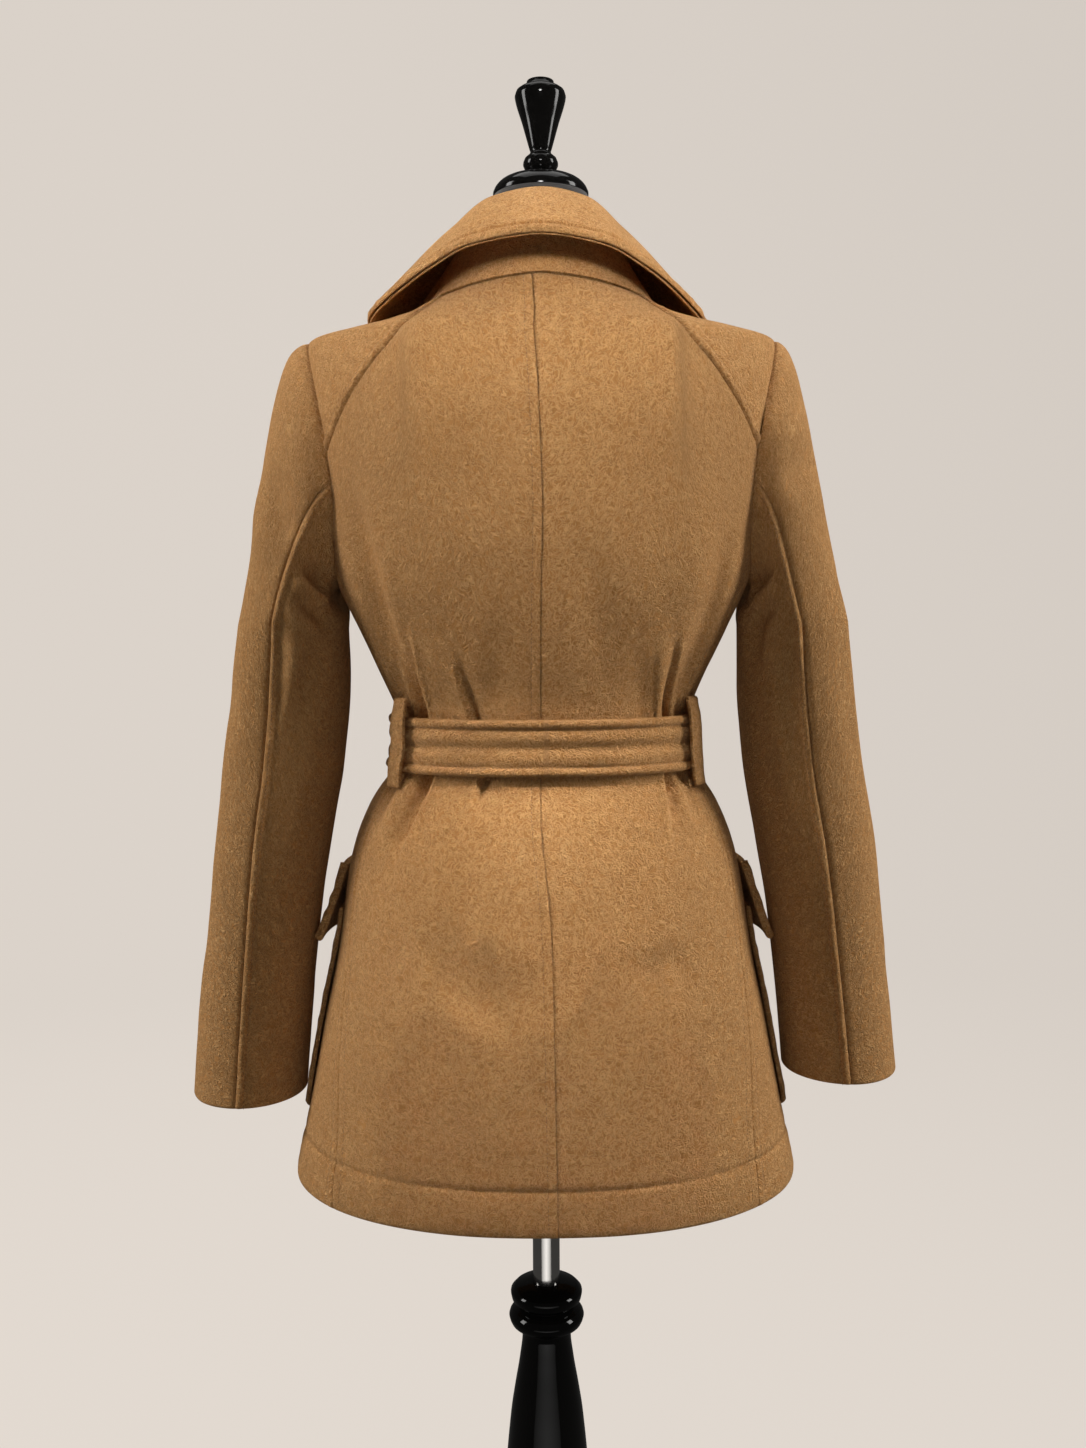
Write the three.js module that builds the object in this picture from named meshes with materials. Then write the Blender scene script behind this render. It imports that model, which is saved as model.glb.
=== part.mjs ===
// Belted wool coat on a limbless dress form and stand.
// Millimetres, +Z up. The coat's front faces -Y and the wearer's left is +X. The origin is
// on the floor, on the axis of the pole.
//
// The coat's body is cut from one curved form, a stack of rounded oval sections. Each panel is
// a wall between its seams on that form, and each sleeve is a loft from the armhole to the cuff.
// Neighbouring panels share the points of their seam, and each draws back half the seam gap.
import * as THREE from 'three';

// ---------------------------------------------------------------- driving dimensions

const CLOTH = 2.5; // wall of one ply of the wool
const SEAM_GAP = 0.3; // free space along each seam
const PLY_GAP = 0.8; // free space between the collar's two plies
const HEM_LEVEL = 676; // height of the coat's lower edge
const HEM_DEPTH = 34; // height of the turned-up hem
// How far the hem rises over its level, at the centre and at the sides, and where that ends above.
const HEM_RISE = { centre: 4.5, side: 12, from: 716, to: 810 };
const HEM_WALL = 5; // the two plies of a turned-up hem
const BELT_WIDTH = 45;
const BELT_LEVEL = 1033; // height of the belt's middle
const BELT_WALL = 4.5;
const BELT_STANDOFF = 1.8; // free space between coat and belt
const FRONT_LAP = 45; // how far each front runs past the centre
const LAP_EASE = 4.2; // free space between the two fronts
const LAP_LIFT = CLOTH + LAP_EASE; // how far the right front lies over the left one, above the hem
const LAP_HEM_FADE = 60; // height over which the lap's extra lift at the thick hem fades
const LAP_RAMP = { from: -90, to: -57 }; // x over which the right front rises over the left one
const LAP_FALL = { from: 53, to: 80 }; // x over which the belt comes back down past the lap
const ARMHOLE = { level: 1258, height: 98, backReach: 24.5, frontReach: 26 }; // mm, mm, degrees, degrees
const CUFF_LEVEL = { left: 743, right: 760 };
const CUFF_DEPTH = 36;

// Sections of the coat's body: height, half width, and depth behind and before the pole's axis.
// `power` is 2 for an ellipse and more for a squarer oval.
const BODY = [
  { z: 676, side: 203, back: 128, front: 150, power: 2.3 },
  { z: 740, side: 191, back: 127, front: 146, power: 2.3 },
  { z: 810, side: 178, back: 124, front: 140, power: 2.3 },
  { z: 870, side: 166.5, back: 119, front: 132, power: 2.3 },
  { z: 940, side: 156, back: 110, front: 121, power: 2.3 },
  { z: 976, side: 144, back: 100, front: 110, power: 2.3 },
  { z: 994, side: 134.5, back: 91, front: 102, power: 2.3 },
  { z: 1008, side: 123.5, back: 83.5, front: 94.5, power: 2.3 },
  { z: 1033, side: 118.5, back: 81, front: 92, power: 2.3 },
  { z: 1058, side: 119.5, back: 82, front: 93, power: 2.3 },
  { z: 1074, side: 125.5, back: 84.5, front: 96, power: 2.35 },
  { z: 1090, side: 133, back: 88, front: 100, power: 2.4 },
  { z: 1130, side: 152, back: 95, front: 108, power: 2.45 },
  { z: 1160, side: 166, back: 99, front: 114, power: 2.5 },
  { z: 1210, side: 174, back: 103, front: 117, power: 2.5 },
  { z: 1290, side: 186, back: 104, front: 110, power: 2.45 },
  { z: 1338, side: 190, back: 97, front: 89, power: 2.3 },
  { z: 1354, side: 189, back: 92, front: 78, power: 2.2 },
  { z: 1361, side: 168, back: 89, front: 71, power: 2.1 },
  { z: 1368, side: 139, back: 86, front: 65, power: 2 },
  { z: 1377, side: 110, back: 82, front: 58, power: 2 },
  { z: 1388, side: 87, back: 78, front: 52, power: 2 },
  { z: 1398, side: 74, back: 74, front: 47, power: 2 },
  { z: 1440, side: 30, back: 40, front: 20, power: 2 },
];

// Largest folds, as soft troughs in the cloth. Angles are degrees from the centre back towards
// the wearer's left, `drift` is how far the fold's foot lies from its head, and sizes are mm.
const FOLDS = [
  { angle: 52, drift: -14, head: 1245, foot: 1075, width: 10, depth: 6 },
  { angle: -54, drift: 12, head: 1225, foot: 1085, width: 9, depth: 5 },
  { angle: 34, drift: -4, head: 1100, foot: 1060, width: 7, depth: 4 },
  { angle: -42, drift: -6, head: 1130, foot: 1060, width: 7, depth: 4 },
  { angle: 44, drift: 10, head: 1006, foot: 925, width: 8, depth: 7 },
  { angle: 20, drift: 4, head: 1006, foot: 965, width: 6, depth: 4 },
  { angle: -50, drift: -6, head: 1006, foot: 930, width: 8, depth: 6 },
  { angle: 128, drift: 6, head: 1006, foot: 900, width: 9, depth: 6 },
  { angle: -132, drift: -4, head: 1006, foot: 915, width: 9, depth: 5 },
];

// Seams on the body, as height against angle from the centre back.
const CENTRE_BACK = [
  { z: 676, angle: -1.6 },
  { z: 880, angle: -1.2 },
  { z: 1000, angle: 0.6 },
  { z: 1215, angle: 0 },
  { z: 1300, angle: 0.3 },
  { z: 1340, angle: 0.9 },
  { z: 1361, angle: 1.6 },
  { z: 1377, angle: 3.1 },
  { z: 1388, angle: 4.3 },
  { z: 1396, angle: 5.2 },
];
const SIDE_BACK = [
  { z: 676, angle: 50.7 },
  { z: 740, angle: 54.3 },
  { z: 810, angle: 60.3 },
  { z: 880, angle: 65.3 },
  { z: 950, angle: 67 },
  { z: 1058, angle: 66.5 },
  { z: 1130, angle: 68.5 },
];
const SIDE = [
  { z: 676, angle: 90 },
  { z: 940, angle: 88 },
  { z: 1033, angle: 86 },
  { z: 1130, angle: 88 },
];
const NECKLINE = [
  { angle: 0, z: 1396 },
  { angle: 30, z: 1392.5 },
  { angle: 62, z: 1388 },
  { angle: 90, z: 1385 },
  { angle: 120, z: 1383 },
  { angle: 148, z: 1372 },
  { angle: 165, z: 1357 },
  { angle: 173, z: 1343 },
  { angle: 180, z: 1331 },
  { angle: 190, z: 1326 },
];
// The shoulder seams of the yoke, from the neckline to the armhole.
const YOKE_BACK = [
  { x: 77, z: 1388 },
  { x: 93, z: 1371 },
  { x: 109, z: 1352 },
  { x: 126, z: 1331 },
  { x: 141, z: 1311 },
  { x: 154, z: 1291 },
  { x: 164, z: 1273 },
];
const YOKE_FRONT = [
  { x: 80, z: 1381 },
  { x: 92, z: 1372 },
  { x: 108, z: 1358 },
  { x: 124, z: 1341 },
  { x: 139, z: 1322 },
  { x: 152, z: 1302 },
  { x: 161, z: 1281 },
];
const YOKE_ENDS = { back: 88, front: -88 }; // where its seams meet the armhole, degrees round it
const NECK_BACK = 1396; // height of the neckline at the centre back
const SIDE_BACK_END = 143; // where the side-back seam meets the armhole, degrees round it

// Sections of the hanging sleeve: height, centre, half width and half depth.
const SLEEVE = [
  { z: 1127, x: 203.5, y: 2, width: 44.5, depth: 58 },
  { z: 1064, x: 206.8, y: 3, width: 47.7, depth: 58 },
  { z: 1008, x: 212.5, y: 2, width: 48.5, depth: 57 },
  { z: 952, x: 221.8, y: -1, width: 47.6, depth: 55 },
  { z: 907, x: 228, y: -4, width: 46, depth: 53 },
  { z: 851, x: 234.5, y: -8, width: 45.6, depth: 51 },
  { z: 795, x: 240.2, y: -12, width: 45.8, depth: 51 },
  { z: 743, x: 244.8, y: -15, width: 46.2, depth: 52 },
];
const SLEEVE_SEAMS = { back: 9, front: 20 }; // which of the armhole's points each seam starts at
// Degrees by which each sleeve's seams swing outwards, at the upper arm and at the cuff.
const SLEEVE_SWING = {
  left: { arm: -23, cuff: -14 },
  right: { arm: -9, cuff: -11 },
};
// How a sleeve's head leaves the armhole, and how it comes down onto the hanging part: at its
// sides, and what its crown has more and its foot less.
const HEAD_LEAVE = { out: 0.87, outCrown: 0.1, round: 0.35, down: 0.36 };
const HEADS = {
  left: {
    leave: { side: 18.5, crown: 18.5, foot: 5.5 },
    arrive: { side: 68, crown: 54, foot: 57 },
    up: { crown: 0.5, foot: 0.28 },
    lean: 0.21,
  },
  right: {
    leave: { side: 20.5, crown: 6.5, foot: 9 },
    arrive: { side: 57, crown: 71, foot: 47 },
    up: { crown: 0.56, foot: 0.28 },
    lean: 0.25,
  },
};

// The turned collar's roll line and outer edge, by angle round the neck, on the left half.
const COLLAR = [
  { angle: 0, rollX: 0, rollY: 80, rollZ: 1455, edgeX: 0, edgeY: 118, edgeZ: 1413.5 },
  { angle: 25, rollX: 34, rollY: 71, rollZ: 1451, edgeX: 50, edgeY: 105, edgeZ: 1409.5 },
  { angle: 50, rollX: 56, rollY: 42, rollZ: 1443, edgeX: 86, edgeY: 75, edgeZ: 1400 },
  { angle: 72, rollX: 66, rollY: 20, rollZ: 1441, edgeX: 119, edgeY: 35, edgeZ: 1388 },
  { angle: 92, rollX: 68, rollY: 0, rollZ: 1442, edgeX: 141, edgeY: 0, edgeZ: 1374.5 },
  { angle: 118, rollX: 62, rollY: -30, rollZ: 1430, edgeX: 143, edgeY: -44, edgeZ: 1367 },
  { angle: 145, rollX: 52, rollY: -58, rollZ: 1405, edgeX: 124, edgeY: -91, edgeZ: 1320 },
  { angle: 160, rollX: 42, rollY: -82, rollZ: 1380, edgeX: 100, edgeY: -110, edgeZ: 1288 },
  { angle: 172, rollX: 27, rollY: -98, rollZ: 1372, edgeX: 72, edgeY: -122, edgeZ: 1262 },
];
const COLLAR_RIGHT = { width: 0.93, from: 80, to: 122 }; // its right half is narrower behind
const COLLAR_SPREAD = 0.66; // how round the collar's roll is
const COLLAR_LIFT = 2.2; // free height between neckline and collar

const POCKET = { back: 88, front: 138, top: 896, foot: 728, standoff: 1.2, swell: 3.5 };
// The rounded lower corners of a pocket: degrees tucked in, by rise above its foot.
const POCKET_CORNER = [
  { rise: 0, tuck: 5 },
  { rise: 7, tuck: 1.75 },
  { rise: 24, tuck: 0 },
];
const FLAP = { back: 86, front: 141, top: 932, foot: 868, standoff: 1.4, kick: 13, wall: 5 };
const KNOT = { x: -2, halfWidth: 25, halfDepth: 14, halfHeight: 25, standoff: 0.6 };
const TAILS = [
  { name: 'belt_tail_left', sign: 1, foot: 776, spread: 14 },
  { name: 'belt_tail_right', sign: -1, foot: 752, spread: 10 },
];
// A tail widens from its head down, over the length `spreadOver`, and comes in by `headRise`.
const TAIL = { head: 1001, centre: 20, topHalf: 14, half: 22.5, standoff: 2.4, headRise: 5, spreadOver: 90 };

// A belt loop's free space over the coat, by height. It stands clear of the belt in between.
const LOOP = { left: 59.5, right: 65, halfAngle: 5, wall: 4.5 };
const LOOP_ROWS = [
  { z: 1071, free: 1.8 },
  { z: 1065, free: 5 },
  { z: 1058, free: 7.2 },
  { z: 1046, free: 7.6 },
  { z: 1033, free: 8 },
  { z: 1020, free: 7.6 },
  { z: 1008, free: 7.2 },
  { z: 1002, free: 5 },
  { z: 997, free: 1.8 },
];

// Sections of the padded torso, as for the coat's body.
const TORSO = [
  { z: 712, side: 122, back: 88, front: 96, power: 2.2 },
  { z: 722, side: 132, back: 96, front: 104, power: 2.2 },
  { z: 830, side: 142, back: 102, front: 112, power: 2.2 },
  { z: 930, side: 130, back: 94, front: 104, power: 2.2 },
  { z: 1000, side: 112, back: 74, front: 86, power: 2.2 },
  { z: 1033, side: 108, back: 71, front: 82, power: 2.2 },
  { z: 1090, side: 118, back: 76, front: 88, power: 2.3 },
  { z: 1160, side: 140, back: 88, front: 103, power: 2.4 },
  { z: 1230, side: 152, back: 94, front: 107, power: 2.4 },
  { z: 1300, side: 160, back: 94, front: 86, power: 2.2 },
  { z: 1336, side: 170, back: 84, front: 62, power: 2.1 },
  { z: 1346, side: 170, back: 79, front: 56, power: 2 },
  { z: 1354, side: 152, back: 75, front: 52, power: 2 },
  { z: 1362, side: 126, back: 72, front: 49, power: 2 },
  { z: 1372, side: 97, back: 68, front: 49, power: 2 },
  { z: 1384, side: 76, back: 65, front: 46, power: 2 },
  { z: 1402, side: 55, back: 52, front: 42, power: 2 },
  { z: 1430, side: 45, back: 44, front: 41, power: 2 },
  { z: 1476.6, side: 38.5, back: 38.5, front: 38.5, power: 2 },
];
const TORSO_FACETS = 32;

// Turned parts, as radius and height from the foot up.
const BASE = [
  { r: 150, z: 0 },
  { r: 150, z: 12 },
  { r: 144, z: 17 },
  { r: 96, z: 22 },
  { r: 88, z: 30 },
  { r: 48, z: 36 },
];
const POST = [
  { r: 30, z: 36.3 },
  { r: 36, z: 60 },
  { r: 38, z: 130 },
  { r: 37, z: 300 },
  { r: 34.5, z: 420 },
  { r: 29.4, z: 482 },
  { r: 26, z: 504 },
  { r: 22, z: 527 },
  { r: 19.8, z: 546 },
  { r: 20.4, z: 551 },
  { r: 28.5, z: 556 },
  { r: 30.6, z: 562 },
  { r: 28, z: 567 },
  { r: 22.5, z: 570.5 },
  { r: 28, z: 575 },
  { r: 29.2, z: 581 },
  { r: 25, z: 586 },
  { r: 13, z: 588 },
];
const NECK_CAP = [
  { r: 39, z: 1477 },
  { r: 39.2, z: 1479 },
  { r: 37.5, z: 1483.5 },
  { r: 34, z: 1487.5 },
  { r: 29, z: 1490.5 },
  { r: 20, z: 1493 },
  { r: 12, z: 1496 },
];
const FINIAL = [
  { r: 10, z: 1496.3 },
  { r: 12.5, z: 1498.5 },
  { r: 14.4, z: 1503.5 },
  { r: 12.8, z: 1508.5 },
  { r: 9, z: 1512 },
  { r: 8.4, z: 1513.5 },
  { r: 9, z: 1515.5 },
  { r: 15, z: 1537 },
  { r: 20.6, z: 1556 },
  { r: 21, z: 1558.5 },
  { r: 19.5, z: 1563.5 },
  { r: 13, z: 1567.5 },
  { r: 11.6, z: 1568.5 },
  { r: 11, z: 1571.5 },
];
const POLE = { radius: 11, foot: 588.3, top: 711.7 };

// ---------------------------------------------------------------- materials

const MATERIALS = {
  wool: new THREE.MeshStandardMaterial({ color: 0xb98c5c, roughness: 0.95, metalness: 0 }),
  cover: new THREE.MeshStandardMaterial({ color: 0x2a2725, roughness: 0.9, metalness: 0 }),
  lacquer: new THREE.MeshStandardMaterial({ color: 0x0b0a0a, roughness: 0.15, metalness: 0 }),
  steel: new THREE.MeshStandardMaterial({ color: 0xc8c6c2, roughness: 0.2, metalness: 1 }),
};

// ---------------------------------------------------------------- small helpers

const vector = (x, y, z) => new THREE.Vector3(x, y, z);
const radians = THREE.MathUtils.degToRad;
const degrees = THREE.MathUtils.radToDeg;
const smooth = (value, low, high) => THREE.MathUtils.smoothstep(value, low, high);

/** A smooth curve through one column of a table, which never overshoots its rows. */
function columnCurve(rows, along, column) {
  const order = rows[0][along] < rows[rows.length - 1][along] ? rows : [...rows].reverse();
  const at = order.map((row) => row[along]);
  const value = order.map((row) => row[column]);
  const step = at.slice(1).map((high, i) => high - at[i]);
  const rise = step.map((width, i) => (value[i + 1] - value[i]) / width);
  const slope = at.map((_, i) => {
    if (i === 0) return rise[0];
    if (i === rise.length) return rise[i - 1];
    if (rise[i - 1] * rise[i] <= 0) return 0;
    const before = 2 * step[i] + step[i - 1];
    const after = step[i] + 2 * step[i - 1];
    return (before + after) / (before / rise[i - 1] + after / rise[i]);
  });
  return (position) => {
    const x = THREE.MathUtils.clamp(position, at[0], at[at.length - 1]);
    let i = 0;
    while (i < step.length - 1 && x > at[i + 1]) i += 1;
    const t = (x - at[i]) / step[i];
    const flat = (1 + 2 * t) * (1 - t) ** 2 * value[i] + t * t * (3 - 2 * t) * value[i + 1];
    const sloped = t * (1 - t) ** 2 * slope[i] - t * t * (1 - t) * slope[i + 1];
    return flat + sloped * step[i];
  };
}

/** A smooth curve for each column of a table, under the column's own name. */
function tableCurves(rows, along) {
  const columns = Object.keys(rows[0]).filter((name) => name !== along);
  return Object.fromEntries(columns.map((name) => [name, columnCurve(rows, along, name)]));
}

/** `count` even steps from `low` to `high`, ends included. */
function steps(low, high, count) {
  return Array.from({ length: count + 1 }, (_, i) => low + ((high - low) * i) / count);
}

/** A closed mesh from vertices and triangles, turned so that its faces point out. */
function closedGeometry(points, triangles) {
  let volume = 0;
  for (const [a, b, c] of triangles) {
    volume += points[a].dot(vector(0, 0, 0).crossVectors(points[b], points[c]));
  }
  const order = volume < 0 ? ([a, b, c]) => [a, c, b] : (corners) => corners;
  const geometry = new THREE.BufferGeometry();
  geometry.setFromPoints(points);
  geometry.setIndex(triangles.flatMap(order));
  geometry.computeVertexNormals();
  return geometry;
}

// Pieces that meet split their end faces along the same diagonal, the one through the corner
// that comes first this way.
const RIM_ORDER = vector(0.37, 0.61, 0.7);

/** A wall between two equal grids of points, closed round its rim, or joined into a ring. */
function wallGeometry(outside, inside, ring = false) {
  const rows = outside.length;
  const columns = outside[0].length;
  const points = [...outside.flat(), ...inside.flat()];
  const index = (layer, row, column) => (layer * rows + row) * columns + (column % columns);
  const triangles = [];
  const quad = (a, b, c, d) => triangles.push([a, b, c], [a, c, d]);
  const rimQuad = (a, b, c, d) => {
    const corners = [a, b, c, d];
    const depth = corners.map((corner) => points[corner].dot(RIM_ORDER));
    const first = depth.indexOf(Math.min(...depth)) % 2;
    quad(...corners.slice(first), ...corners.slice(0, first));
  };
  const last = ring ? columns : columns - 1;
  for (let row = 0; row < rows - 1; row += 1) {
    for (let column = 0; column < last; column += 1) {
      const corner = (layer, down, across) => index(layer, row + down, column + across);
      const reach = (layer, down) =>
        points[corner(layer, down, 0)].distanceTo(points[corner(layer, 1 - down, 1)]);
      const turn = reach(0, 0) + reach(1, 0) < reach(0, 1) + reach(1, 1) ? 0 : 1;
      for (const layer of [0, 1]) {
        const around = [corner(layer, 0, 0), corner(layer, 0, 1), corner(layer, 1, 1), corner(layer, 1, 0)];
        const turned = [...around.slice(turn), ...around.slice(0, turn)];
        quad(...(layer === 0 ? turned : [turned[0], turned[3], turned[2], turned[1]]));
      }
    }
  }
  const top = rows - 1;
  for (let column = 0; column < last; column += 1) {
    const next = column + 1;
    rimQuad(index(1, 0, column), index(1, 0, next), index(0, 0, next), index(0, 0, column));
    rimQuad(index(0, top, column), index(0, top, next), index(1, top, next), index(1, top, column));
  }
  for (let row = 0; row < rows - 1 && !ring; row += 1) {
    rimQuad(index(0, row, 0), index(0, row + 1, 0), index(1, row + 1, 0), index(1, row, 0));
    const end = columns - 1;
    rimQuad(index(1, row, end), index(1, row + 1, end), index(0, row + 1, end), index(0, row, end));
  }
  return closedGeometry(points, triangles);
}

// ---------------------------------------------------------------- the coat's form

const bodyCurves = tableCurves(BODY, 'z');
const neckLevelLeft = columnCurve(NECKLINE, 'angle', 'z');
const neckLevel = (angle) => neckLevelLeft(Math.abs(angle));
const RAY_CORE = 1240; // rays to the shoulders start here on the axis, lower ones at their own height

/** The point of the form at an angle from the centre back and a height. */
function formPoint(angle, z, curves = bodyCurves) {
  const turn = radians(angle);
  const bend = 2 / curves.power(z);
  const depth = Math.cos(turn) > 0 ? curves.back(z) : curves.front(z);
  const across = Math.sign(Math.sin(turn)) * Math.abs(Math.sin(turn)) ** bend;
  const along = Math.sign(Math.cos(turn)) * Math.abs(Math.cos(turn)) ** bend;
  return vector(curves.side(z) * across, depth * along, z);
}

/** The angle from the centre back of the form's point at a distance `x` across, at the back. */
function angleAcross(x, z) {
  return degrees(Math.asin((x / bodyCurves.side(z)) ** (bodyCurves.power(z) / 2)));
}

/** Below 0 inside the form and above 0 outside it. */
function formLevel(point) {
  const power = bodyCurves.power(point.z);
  const depth = point.y > 0 ? bodyCurves.back(point.z) : bodyCurves.front(point.z);
  const across = (Math.abs(point.x) / bodyCurves.side(point.z)) ** power;
  return (across + (Math.abs(point.y) / depth) ** power) ** (1 / power) - 1;
}

/** Moves a point onto the form, along the ray to it from the form's core. */
function ontoForm(point) {
  const core = vector(0, 0, Math.min(point.z, RAY_CORE));
  const ray = point.clone().sub(core);
  let [low, high] = [0.4, 1.8];
  for (let halving = 0; halving < 40; halving += 1) {
    const middle = (low + high) / 2;
    if (formLevel(core.clone().addScaledVector(ray, middle)) < 0) low = middle;
    else high = middle;
  }
  return core.addScaledVector(ray, low);
}

/** The form's outward normal near a point. */
function formNormal(point) {
  const reach = 0.5;
  const slope = (x, y, z) => {
    const shift = vector(x, y, z).multiplyScalar(reach);
    return formLevel(point.clone().add(shift)) - formLevel(point.clone().sub(shift));
  };
  return vector(slope(1, 0, 0), slope(0, 1, 0), slope(0, 0, 1)).normalize();
}

/** The angle from the centre back of a point on the form. */
function angleOf(point) {
  const section = bodyCurves;
  const depth = point.y > 0 ? section.back(point.z) : section.front(point.z);
  const bend = section.power(point.z) / 2;
  const across = Math.sign(point.x) * Math.abs(point.x / section.side(point.z)) ** bend;
  const along = Math.sign(point.y) * Math.abs(point.y / depth) ** bend;
  return degrees(Math.atan2(across, along));
}

/** Lifts a point of the skirt to the curve that the hem hangs in. */
function hung(point) {
  if (point.z >= HEM_RISE.to) return point;
  const angle = angleOf(point);
  const side = Math.sin(radians(angle)) ** 2;
  const rise = THREE.MathUtils.lerp(HEM_RISE.centre, HEM_RISE.side, side);
  return formPoint(angle, point.z + rise * (1 - smooth(point.z, HEM_RISE.from, HEM_RISE.to)));
}

/** How deep the folds draw the cloth in at a point of the form. */
function foldDepth(point) {
  const angle = angleOf(point);
  let total = 0;
  for (const fold of FOLDS) {
    const way = (fold.head - point.z) / (fold.head - fold.foot);
    const off = (angle - fold.angle - fold.drift * way) / fold.width;
    const fade = smooth(way, -0.15, 0.2) * (1 - smooth(way, 0.55, 1.2));
    total += fold.depth * fade * Math.exp(-off * off);
  }
  return total;
}

/** A point of the form with the folds in it. */
function drape(point) {
  return point.clone().addScaledVector(formNormal(point), -foldDepth(point));
}

// ---------------------------------------------------------------- seams

/** A seam's point given as height and angle, on the side whose sign is given. */
const seamPoint = (sign, angle, z) => formPoint(sign * angle, z);

// Heights of the panels' rows, from the hem up to the foot of the armhole.
const HEM_TOP = HEM_LEVEL + HEM_DEPTH;
const WAIST_ROWS = [976, 994, 1008, 1033, 1058, 1074, 1100, 1130, 1146];
const ROWS = [HEM_LEVEL, HEM_TOP, HEM_TOP + 3, 770, 835, 895, 945, ...WAIST_ROWS];
const LEVEL_ROWS = ROWS.length - 3; // rows that stay level across every panel
const CENTRE_BACK_ROWS = [1178, 1228, 1282, 1340]; // rows of the centre back above those
const FRONT_EDGE_ROWS = [1130, 1195, 1262]; // rows of the front edges above the level ones

const centreBackAngle = columnCurve(CENTRE_BACK, 'z', 'angle');
const sideBackAngle = columnCurve(SIDE_BACK, 'z', 'angle');
const sideAngle = columnCurve(SIDE, 'z', 'angle');

/** The armhole's edge, by degrees round it: 0 at the shoulder, 90 at the back, 180 below. */
function armholeEdge(sign, round) {
  const turn = radians(round);
  const reach = Math.sin(turn) > 0 ? ARMHOLE.backReach : ARMHOLE.frontReach;
  return seamPoint(sign, 90 - reach * Math.sin(turn), ARMHOLE.level + ARMHOLE.height * Math.cos(turn));
}

const LEAST_MITRE = 0.6; // keeps a sharp armhole seam from growing too thick

/** The same point, with the way through the cloth that body and sleeve share at their seam. */
function armholePoint(sign, round) {
  const point = armholeEdge(sign, round);
  const body = formNormal(point);
  const sleeve = sleeveNormal(sign, round, 0);
  const shared = body.clone().add(sleeve).normalize();
  point.through = shared.multiplyScalar(1 / Math.max(shared.dot(body), LEAST_MITRE));
  return point;
}

const armhole = (sign, from, to, count) => steps(from, to, count).map((round) => armholePoint(sign, round));

/** The neckline's edge between two angles from the centre back. */
function neckline(from, to, count) {
  return steps(from, to, count).map((angle) => formPoint(angle, neckLevel(angle)));
}

/** The centre-back seam, which both backs share. */
function centreBackSeam() {
  const heights = [...ROWS, ...CENTRE_BACK_ROWS, neckLevel(centreBackAngle(NECK_BACK))];
  return heights.map((z) => formPoint(centreBackAngle(z), z));
}

const sideBackSeam = (sign) => [
  ...ROWS.map((z) => seamPoint(sign, sideBackAngle(z), z)),
  armholePoint(sign, SIDE_BACK_END),
];

const sideSeam = (sign) => [...ROWS.map((z) => seamPoint(sign, sideAngle(z), z)), armholePoint(sign, 180)];

/** The free edge of a front, past the centre by the lap. */
function frontEdge(sign) {
  const heights = [...ROWS.slice(0, LEVEL_ROWS), ...FRONT_EDGE_ROWS, neckLevel(180 + ARMHOLE.frontReach)];
  return heights.map((z) => seamPoint(sign, 180 + angleAcross(FRONT_LAP, z), z));
}

/** The angle from the centre back at which a yoke seam leaves the neckline. */
const yokeStart = (rows, isBack) => {
  const angle = angleAcross(rows[0].x, rows[0].z);
  return isBack ? angle : 180 - angle;
};

/** A yoke seam from the neckline to the armhole, at the back or the front. */
function yokeSeam(sign, rows, isBack, end) {
  const start = yokeStart(rows, isBack);
  const between = rows.slice(1, -1).map(({ x, z }) => {
    const angle = angleAcross(x, z);
    return seamPoint(sign, isBack ? angle : 180 - angle, z);
  });
  return [seamPoint(sign, start, neckLevel(start)), ...between, armholePoint(sign, end)];
}

const joined = (...parts) => parts.flatMap((part, i) => (i === 0 ? part : part.slice(1)));
const reversed = (part) => [...part].reverse();

// ---------------------------------------------------------------- sleeves

const sleeveCurves = tableCurves(SLEEVE, 'z');
const SLEEVE_TOP = SLEEVE[0].z;

/** A point of the hanging part of the sleeve, by degrees round it and height. */
function hangingPoint(sign, round, z) {
  const [swing, cuff] = sign > 0
    ? [SLEEVE_SWING.left, CUFF_LEVEL.left]
    : [SLEEVE_SWING.right, CUFF_LEVEL.right];
  const down = (SLEEVE_TOP - z) / (SLEEVE_TOP - cuff);
  const turn = radians(round + THREE.MathUtils.lerp(swing.arm, swing.cuff, down));
  const across = sleeveCurves.x(z) + sleeveCurves.width(z) * Math.cos(turn);
  return vector(sign * across, sleeveCurves.y(z) + sleeveCurves.depth(z) * Math.sin(turn), z);
}

/** A point of the sleeve: `way` runs from 0 at the armhole to 1 at the upper arm and 2 at the cuff. */
function sleevePoint(sign, round, way) {
  const cuff = sign > 0 ? CUFF_LEVEL.left : CUFF_LEVEL.right;
  if (way > 1) return hangingPoint(sign, round, THREE.MathUtils.lerp(SLEEVE_TOP, cuff, way - 1));
  const [up, back] = [Math.cos(radians(round)), Math.sin(radians(round))];
  const start = drape(armholeEdge(sign, round));
  const end = hangingPoint(sign, round, SLEEVE_TOP);
  const { out, outCrown, down } = HEAD_LEAVE;
  const head = sign > 0 ? HEADS.left : HEADS.right;
  const half = up > 0 ? 'crown' : 'foot';
  const leave = vector(sign * (out + outCrown * up), HEAD_LEAVE.round * back, head.up[half] * up - down);
  leave.multiplyScalar(head.leave.side + head.leave[half] * up);
  const arrive = vector(-sign * head.lean, 0, 1);
  arrive.multiplyScalar(head.arrive.side + head.arrive[half] * up);
  const curve = new THREE.CubicBezierCurve3(start, start.clone().add(leave), end.clone().add(arrive), end);
  return curve.getPoint(Math.max(way, 0));
}

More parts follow.
